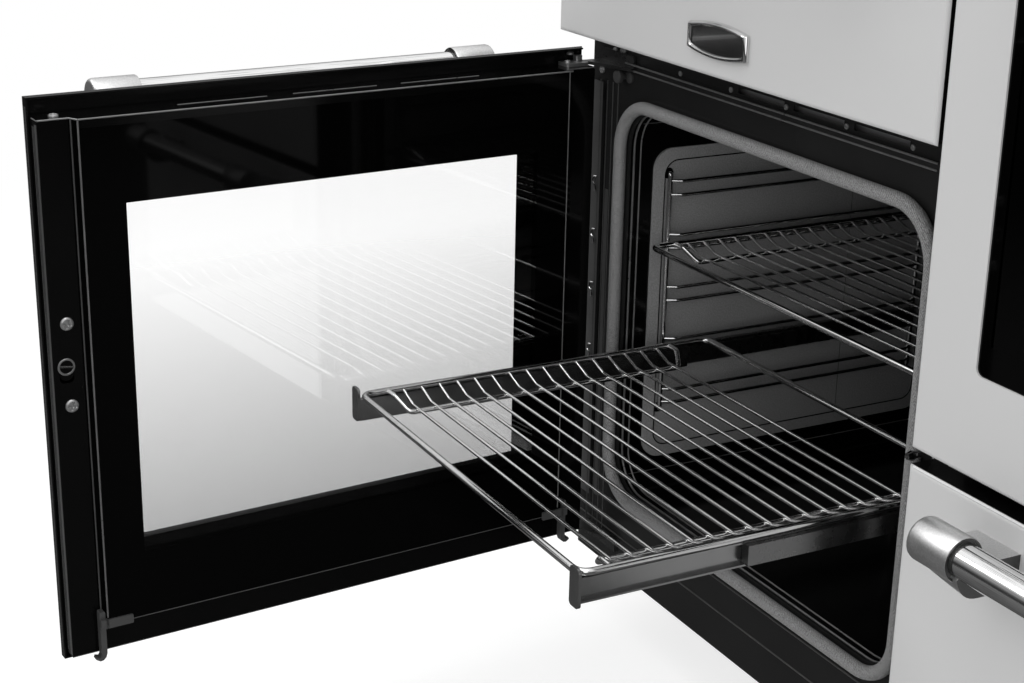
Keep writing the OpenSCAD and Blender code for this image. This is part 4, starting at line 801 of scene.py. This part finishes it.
plaque = {"left": 222.0, "right": 306.0, "middle": 30.6, "half": 10.6, "arch": 4.4, "rim": 4.2, "rise": 4.6,
          "faceOut": 2.4}


def plaqueOutline(shrink, steps=16):
    x0, x1 = plaque["left"] + shrink, plaque["right"] - shrink
    half = plaque["half"] - shrink
    points = []
    for turn in (1, -1):
        for k in range(steps + 1):
            t = k / steps
            x = x1 + (x0 - x1) * t if turn > 0 else x0 + (x1 - x0) * t
            points.append((x, plaque["middle"] + turn * (half + plaque["arch"] * (1 - (2 * t - 1) ** 2))))
    return points


def blankPlaque():
    rise, width = plaque["rise"], plaque["rim"]
    levels = [(0.0, 0.0), (0.0, 1.6), (1.2, rise - 0.3), (2.0, rise), (width - 1.2, rise),
              (width - 0.5, rise - 0.5), (width, 2.2)]
    rings = [[(x, -out, z) for x, z in plaqueOutline(shrink)] for shrink, out in levels]
    rim = Shape().loft(rings, ends=False)
    rim.build("plaque_rim", chrome, "steel_trim", "grill_door", onGrill, smooth=50)
    face = Shape().prism(plaqueOutline(width - 0.3), -plaque["faceOut"], 0.0)
    face.build("plaque_face", darkPlastic, "dark_plastic", "grill_door", onGrill)


blankPlaque()


# Handle ends: a cap with a rolled rim round the bar, over a foot that falls from it to the skin

print("handles, seal and liners")
handleEnd = {"length": 41.0, "radius": 16.5, "bar": 12.8, "out": 46.0, "top": -3.0, "drop": 17.0,
             "mainIn": 71.5, "drawerIn": 74.0}
# Along the foot: the distance from the cap's outer end, and how far the section has grown there
footStops = ((2.6, 0.0), (6.5, 0.16), (10.5, 0.32), (14.5, 0.47), (18.5, 0.6), (32.0, 0.83), (45.5, 1.0))
# Start, bend and end of the section's front edge at the first stop and at the last
footSmall = ((-11.0, -10.0), (-6.0, -14.4), (12.0, -14.4))
footFull = ((-8.6, -11.2), (-4.0, -28.0), (12.0, -28.0))


# The foot's section, depth and height from the cap's middle
def footSection(grown):
    first, bend, last = (Vector(a).lerp(Vector(b), grown) for a, b in zip(footSmall, footFull))
    out, top = handleEnd["out"], handleEnd["top"]
    return [tuple(p) for p in bezier(first, bend, last, 8)] + [(out, last.y), (out, top), (0.0, top)]


def handleEnds(name, material, matrix, inset, width, height, body, node):
    s = Shape()
    length, radius, bar, out = (handleEnd[k] for k in ("length", "radius", "bar", "out"))
    profile = [(0.5, 0.0), (radius - 3.4, 0.0), (radius - 1.6, 0.5), (radius - 0.5, 1.6), (radius, 3.4),
               (radius, length - 1.0), (radius - 0.5, length), (radius - 2.0, length),
               (radius - 2.4, length - 2.2), (bar, length - 2.2)]
    up = height - handleEnd["drop"]
    for start, turn in ((inset, 1), (width - inset, -1)):
        s.lathe(profile, (start, -out, up), (turn, 0, 0), 56)
        s.loft([[(start + turn * along, y - out, z + up) for y, z in footSection(grown)]
                for along, grown in footStops])
    s.build(name, material, "handle_cap", body, matrix, [node], smooth=30)


handleEnds("main_handle_caps", doorCap, openDoor, handleEnd["mainIn"], leftW, mainH, "main_door",
           "main_handle_ends")
handleEnds("drawer_handle_caps", capMetal, onDrawer, handleEnd["drawerIn"], rightW, drawerH, "drawer",
           "drawer_handle_ends")


# Seal: three seams along it and a pressed lip inside it

sealLow, sealHigh = boxOf("main_gasket")
# Insets from the seal's box, depths behind the seal's middle, and the lips' radii
sealParts = {"corner": 50.0, "seams": ((3.6, 0.75), (8.4, 0.75), (10.6, 2.9)), "seam": 0.42,
             "lips": ((11.3, 12.5, 1.1), (12.4, 19.0, 0.8))}


def sealLoop(inset, back):
    y = (sealLow[1] + sealHigh[1]) / 2 + back
    outline = roundedRect(sealLow[0] + inset, sealLow[2] + inset, sealHigh[0] - inset, sealHigh[2] - inset,
                          sealParts["corner"] - inset)
    return [(x, y, z) for x, z in outline]


def sealLines():
    seams = Shape()
    for inset, back in sealParts["seams"]:
        seams.tube(sealLoop(inset, back), sealParts["seam"], 8, closed=True)
    seams.build("main_seal_seams", seamGrey, "seal_grey")
    lip = Shape()
    for inset, back, radius in sealParts["lips"]:
        lip.tube(sealLoop(inset, back), radius, 10, closed=True)
    # Painted highlight: the lip is drawn in the highlight enamel
    lip.build("main_oven_lip", highlightEnamel, "black_enamel")


# Side liners: a pressed line, drawn black as painted shade, and a seam on each, and beads on the oven's walls
# over and under them, drawn as painted highlights

linerLow, linerHigh = boxOf("main_liners")
linerParts = {"border": 12.0, "corner": 14.0, "line": 0.6, "lineIn": 2.75, "seam": 0.35, "seamIn": 1.4,
              "seamY": 8.0, "seamShort": 13.0, "bead": 0.5, "beadIn": 0.2, "beadSpan": (-243.0, 140.0),
              "beadUps": (522.0, 168.0)}


def bothWalls(inset):
    return linerLow[0] + inset, linerHigh[0] - inset


def linerLines():
    part, border = linerParts, linerParts["border"]
    groove, light, wall = Shape(), Shape(), Shape()
    y0, z0, y1, z1 = *linerLow[1:], *linerHigh[1:]
    outline = roundedRect(y0 + border, z0 + border, y1 - border, z1 - border, part["corner"])
    for x in bothWalls(part["lineIn"]):
        groove.tube([(x, y, z) for y, z in outline], part["line"], 8, closed=True)
    for x in bothWalls(part["seamIn"]):
        ends = z0 + part["seamShort"], z1 - part["seamShort"]
        light.tube([(x, part["seamY"], z) for z in ends], part["seam"], 8)
    # Painted shade: the pressed line is a black tube along the liner
    groove.build("liner_pressed_line", blackEnamel, "black_enamel")
    light.build("liner_seam", railSteel, "liner_enamel")
    # Painted highlight: the wall beads are drawn in the highlight enamel
    for x in bothWalls(part["beadIn"]):
        for up in part["beadUps"]:
            wall.tube([(x, y, up) for y in part["beadSpan"]], part["bead"], 8)
    wall.build("oven_wall_beads", highlightEnamel, "black_enamel")


sealLines()
linerLines()


# Hinge block on the main door's top corner, and the pressed strip of the hinge column

hinge = {"block": (3.0, 4.0, 27.0, 21.0, 2.0), "blockHigh": 3.0, "ear": (4.0, 5.0, 11.0, 12.0, 1.5),
         "earHigh": 8.0, "pin": [(3.4, 0), (3.4, 2.0), (2.6, 2.8), (0.5, 2.8)], "pinUp": 8.5,
         "screw": (21.0, 12.0), "screwHead": (3.4, 1.6)}


def hingeCorner():
    s = Shape()
    top = doorParts["top"]
    block = top + hinge["blockHigh"]
    s.prism(roundedRect(*hinge["block"], 4), top, block, axis=2)
    s.prism(roundedRect(*hinge["ear"], 4), block, top + hinge["earHigh"], axis=2)
    s.lathe(hinge["pin"], (hingeIn, hingeBack, top + hinge["pinUp"]), (0, 0, 1))
    s.screw((*hinge["screw"], block), (0, 0, 1), *hinge["screwHead"])
    onDoor(s, "main_door_hinge_block", zinc, "zinc_steel")
    strip = Shape().prism(rectangle(*fold["strip"]), fold["stripOut"], fold["columnOut"])
    # Painted sheen: the strip is a lighter black sheet over the column
    onFrame(strip, "frame_column_strip", sheenEnamel)


hingeCorner()


# The drawer front's rolled top edge, painted in the print's white as a highlight, brighter than its face

drawerLip = {"endIn": 4.5, "back": 1.4, "under": 0.5, "radius": 0.95}


def drawerEdge():
    y, z = skinY + drawerLip["back"], drawerHigh[2] - drawerLip["under"]
    ends = drawerLow[0] + drawerLip["endIn"], drawerHigh[0] - drawerLip["endIn"]
    # Painted highlight: a white tube along the rolled edge
    s = Shape().tube([(x, y, z) for x in ends], drawerLip["radius"], 12)
    s.build("drawer_top_edge", printWhite, "white_enamel", "drawer")


drawerEdge()


# Control panel: pointers, dial ticks, clock figures and button signs

print("controls and hob")
panel = {"knobs": (-419.0, -314.0, -209.0, 104.0, 209.0, 314.0, 419.0), "up": 838.0}
dial = {"ticks": 11, "sweep": 270.0, "gap": 3.5, "short": 3.0, "long": 5.0, "longEvery": 5, "line": 0.45,
        "out": 0.05, "pointerHalf": 0.9, "pointerShares": (0.2, 0.66), "pointerOut": 0.15, "pointerIn": 0.3}


def dialMarks():
    knobLow, knobHigh = boxOf("knob_1")
    radius, front = (knobHigh[0] - knobLow[0]) / 2, knobLow[1]
    face, up = skinY - dial["out"], panel["up"]
    ticks = Shape()
    for x in panel["knobs"]:
        for k in range(dial["ticks"]):
            a = math.radians(90 + dial["sweep"] / 2 - dial["sweep"] * k / (dial["ticks"] - 1))
            inner = radius + dial["gap"]
            outer = inner + (dial["short"] if k % dial["longEvery"] else dial["long"])
            ends = [(x + r * math.cos(a), face, up + r * math.sin(a)) for r in (inner, outer)]
            ticks.tube(ends, dial["line"], 8)
    ticks.build("dial_ticks", darkPlastic, "dark_plastic")
    half = dial["pointerHalf"]
    low, high = (up + radius * share for share in dial["pointerShares"])
    for i, x in enumerate(panel["knobs"]):
        outline = roundedRect(x - half, low, x + half, high, 0.8, 4)
        pointer = Shape().prism(outline, front - dial["pointerOut"], front + dial["pointerIn"])
        pointer.build(f"knob_{i + 1}_pointer", darkPlastic, "dark_plastic", f"knob_{i + 1}_body")


segments = {"0": "abcdef", "1": "bc", "2": "abged"}
clock = {"width": 7.0, "height": 12.0, "first": -25.0, "pitch": 13.0, "minutesOn": 3.0, "low": -1.0,
         "line": 0.55, "gap": 0.8, "in": 0.7, "dots": (2.5, 7.5), "dotDepths": (0.4, 0.8), "dot": 0.8,
         "signs": 50.0, "sign": 2.5, "signUp": -14.7, "signLine": 0.4, "signOut": 0.05}


# The bars of a seven-bar figure, from its lower left corner
def figure(shape, digit, x, y, z):
    right, middle, top, gap = x + clock["width"], z + clock["height"] / 2, z + clock["height"], clock["gap"]
    bars = {"a": (x, top, right, top), "b": (right, middle, right, top), "c": (right, z, right, middle),
            "d": (x, z, right, z), "e": (x, z, x, middle), "f": (x, middle, x, top),
            "g": (x, middle, right, middle)}
    for x0, z0, x1, z1 in (bars[bar] for bar in segments[digit]):
        across, upward = (gap, 0) if z0 == z1 else (0, gap)
        shape.tube([(x0 + across, y, z0 + upward), (x1 - across, y, z1 - upward)], clock["line"], 8)


def clockFace():
    low, high = boxOf("clock_module")
    x, front, up = (low[0] + high[0]) / 2, low[1], panel["up"]
    s = Shape()
    for k, digit in enumerate("1200"):
        shift = clock["first"] + k * clock["pitch"] + (clock["minutesOn"] if k > 1 else 0)
        figure(s, digit, x + shift, front + clock["in"], up + clock["low"])
    for rise in clock["dots"]:
        s.tube([(x, front + depth, up + rise) for depth in clock["dotDepths"]], clock["dot"], 12)
    y, z, half = front - clock["signOut"], up + clock["signUp"], clock["sign"]
    for turn in (-1, 1):
        sign = x + turn * clock["signs"]
        s.tube([(sign - half, y, z), (sign + half, y, z)], clock["signLine"], 8)
        if turn > 0:
            s.tube([(sign, y, z - half), (sign, y, z + half)], clock["signLine"], 8)
    s.build("clock_figures", printWhite, "dark_plastic")


# Radii of the rings of a large and a small zone, and each zone's place as shares of the glass
hobZone = {"large": (105.0, 75.0), "small": (72.0,), "line": 1.4, "sunk": 0.05, "thick": 0.12,
           "shares": ((-0.36, -0.22, "large"), (-0.36, 0.25, "small"), (0, 0, "large"), (0.36, 0.25, "large"),
                      (0.36, -0.22, "small"))}


def hobMarks():
    low, high = boxOf("hob_glass")
    width, depth, thick = high[0] - low[0], high[1] - low[1], hobZone["thick"]
    s = Shape()
    for across, back, size in hobZone["shares"]:
        centre = (across * width, (low[1] + high[1]) / 2 + back * depth, high[2] - hobZone["sunk"])
        for radius in hobZone[size]:
            inner = radius - hobZone["line"]
            s.lathe([(radius, 0), (radius, thick), (inner, thick), (inner, 0)], centre, (0, 0, 1), 72)
    s.build("hob_zone_rings", printGrey, "black_glass")
dialMarks()
clockFace()
hobMarks()


# Back: fixing screws and a plain cover over the terminals

backScrew = {"in": 12.0, "across": 5, "up": 4, "head": (4.2, 2.0)}
cover = {"plateAt": (258.0, 638.0, 422.0, 772.0), "corner": 8.0, "plate": 1.4, "raised": 2.8,
         "step": 18.0, "stepCorner": 10.0, "screwIn": 10.0, "head": (4.0, 1.5)}


def backFittings():
    low, high = boxOf("rear_panel")
    back, inset = high[1], backScrew["in"]
    x0, x1, z0, z1 = low[0] + inset, high[0] - inset, low[2] + inset, high[2] - inset
    screws = Shape()
    for k in range(backScrew["across"] + 1):
        across = x0 + (x1 - x0) * k / backScrew["across"]
        for up in (z0, z1):
            screws.screw((across, back, up), inY, *backScrew["head"], turn=0.4 * k)
    for k in range(1, backScrew["up"]):
        up = z0 + (z1 - z0) * k / backScrew["up"]
        for across in (x0, x1):
            screws.screw((across, back, up), inY, *backScrew["head"], turn=0.5 * k)
    left, bottom, right, top = cover["plateAt"]
    plate, step, inset = back + cover["plate"], cover["step"], cover["screwIn"]
    for up in (bottom + inset, top - inset):
        for across in (left + inset, right - inset):
            screws.screw((across, plate, up), inY, *cover["head"])
    screws.build("rear_panel_screws", zinc, "zinc_steel")
    s = Shape()
    s.prism(roundedRect(left, bottom, right, top, cover["corner"]), back, plate)
    s.prism(roundedRect(left + step, bottom + step, right - step, top - step, cover["stepCorner"]), plate,
            back + cover["raised"])
    s.build("terminal_cover", zinc, "zinc_steel")


backFittings()


# Stage: camera, lights, floor and white surround

view = {"place": (957.5, -1114.3, 869.7), "yaw": 62.06, "pitch": 19.04, "roll": -1.13, "lens": 62.66,
        "sensor": 36.0, "near": 0.05, "far": 50.0}


def stageCamera():
    yaw, pitch, roll = (math.radians(view[k]) for k in ("yaw", "pitch", "roll"))
    ahead = Vector((-math.sin(yaw) * math.cos(pitch), math.cos(yaw) * math.cos(pitch), -math.sin(pitch)))
    right = Vector((math.cos(yaw), math.sin(yaw), 0))
    down = ahead.cross(right)
    acrossView = right * math.cos(roll) + down * math.sin(roll)
    downView = down * math.cos(roll) - right * math.sin(roll)
    data = bpy.data.cameras.new("camera")
    data.lens, data.sensor_width = view["lens"], view["sensor"]
    data.clip_start, data.clip_end = view["near"], view["far"]
    camera = bpy.data.objects.new("camera", data)
    turn = Matrix((acrossView, -downView, -ahead)).transposed()
    camera.matrix_world = Matrix.Translation(Vector(view["place"]) * mm) @ turn.to_4x4()
    bpy.context.scene.collection.objects.link(camera)
    bpy.context.scene.camera = camera


# Place, target and size in metres, power in watts
lights = {
    "key": ((-1.6, -2.6, 2.6), (0, -0.3, 0.5), (1.6, 1.6), 26),
    "fill": ((2.6, -1.8, 1.5), (0, -0.3, 0.5), (1.4, 1.8), 10),
    "top": ((0.2, -0.9, 2.8), (0, -0.2, 0.5), (2.2, 1.2), 18),
}


def areaLight(name, place, target, size, power):
    data = bpy.data.lights.new(name, "AREA")
    data.shape, data.size, data.size_y, data.energy = "RECTANGLE", size[0], size[1], power
    light = bpy.data.objects.new(name, data)
    light.location = place
    light.rotation_mode = "QUATERNION"
    light.rotation_quaternion = (Vector(target) - Vector(place)).to_track_quat("-Z", "Y")
    bpy.context.scene.collection.objects.link(light)


ground = {"half": 6.0, "under": 0.5, "pale": 0.36, "mirrored": 0.12, "glow": 0.74, "fadeFrom": 1.1,
          "fadeTo": 2.6, "forward": 0.2}


# A pale floor that keeps the shadow, darker to what mirrors it, and clear far from the cooker
def stageFloor():
    mesh = bpy.data.meshes.new("stage_floor")
    half = ground["half"]
    corners = [(x, y, 0) for x, y in rectangle(-half, -half, half, half)]
    mesh.from_pydata(corners, [], [(0, 1, 2, 3)])
    floor = bpy.data.objects.new("stage_floor", mesh)
    floor.location = (0, 0, -ground["under"] * mm)
    bpy.context.scene.collection.objects.link(floor)
    material, s = newMaterial("stage_floor")
    x, y, z = s.parts(s.place())
    y = y + ground["forward"]
    distance = (x * x + y * y).maths("SQRT")
    glossy, = s.rays("Is Glossy Ray")
    pale = s.surface({
        "Base Color": s.colours(glossy, grey(ground["pale"]), grey(ground["mirrored"])), "Roughness": 0.9,
        "Specular IOR Level": 0.0, "Emission Color": s.colours(glossy, grey(1.0), grey(0.0)),
        "Emission Strength": ground["glow"]})
    clear = s.make("BsdfTransparent", {"Color": grey(1.0)})
    s.end(s.mixed(distance.ramp(ground["fadeFrom"], ground["fadeTo"]), pale, clear))
    mesh.materials.append(material)


surround = {"plain": 0.78, "mirrorFrom": -0.1, "mirrorTo": 0.8, "mirrorLow": 0.03}


# White to the camera, plain grey to the surfaces, and brighter upwards to what mirrors it
def stageWorld():
    world = bpy.data.worlds.new("studio")
    bpy.context.scene.world = world
    s = Shader(world)
    seen, glossy, through = s.rays("Is Camera Ray", "Is Glossy Ray", "Is Transmission Ray")
    up = s.parts(s.make("TexCoord", out="Generated"))[2]
    mirror = up.ramp(surround["mirrorFrom"], surround["mirrorTo"]) + surround["mirrorLow"]
    level = s.colours(glossy, grey(surround["plain"]), mirror)
    level = s.colours(seen.maths("MAXIMUM", through), level, grey(1.0))
    s.end(s.make("Background", {"Color": level, "Strength": 1.0}), "OutputWorld")


print("stage")
stageCamera()
stageWorld()
stageFloor()
for name, light in lights.items():
    areaLight(name, *light)
bpy.context.scene.view_settings.view_transform = "Standard"
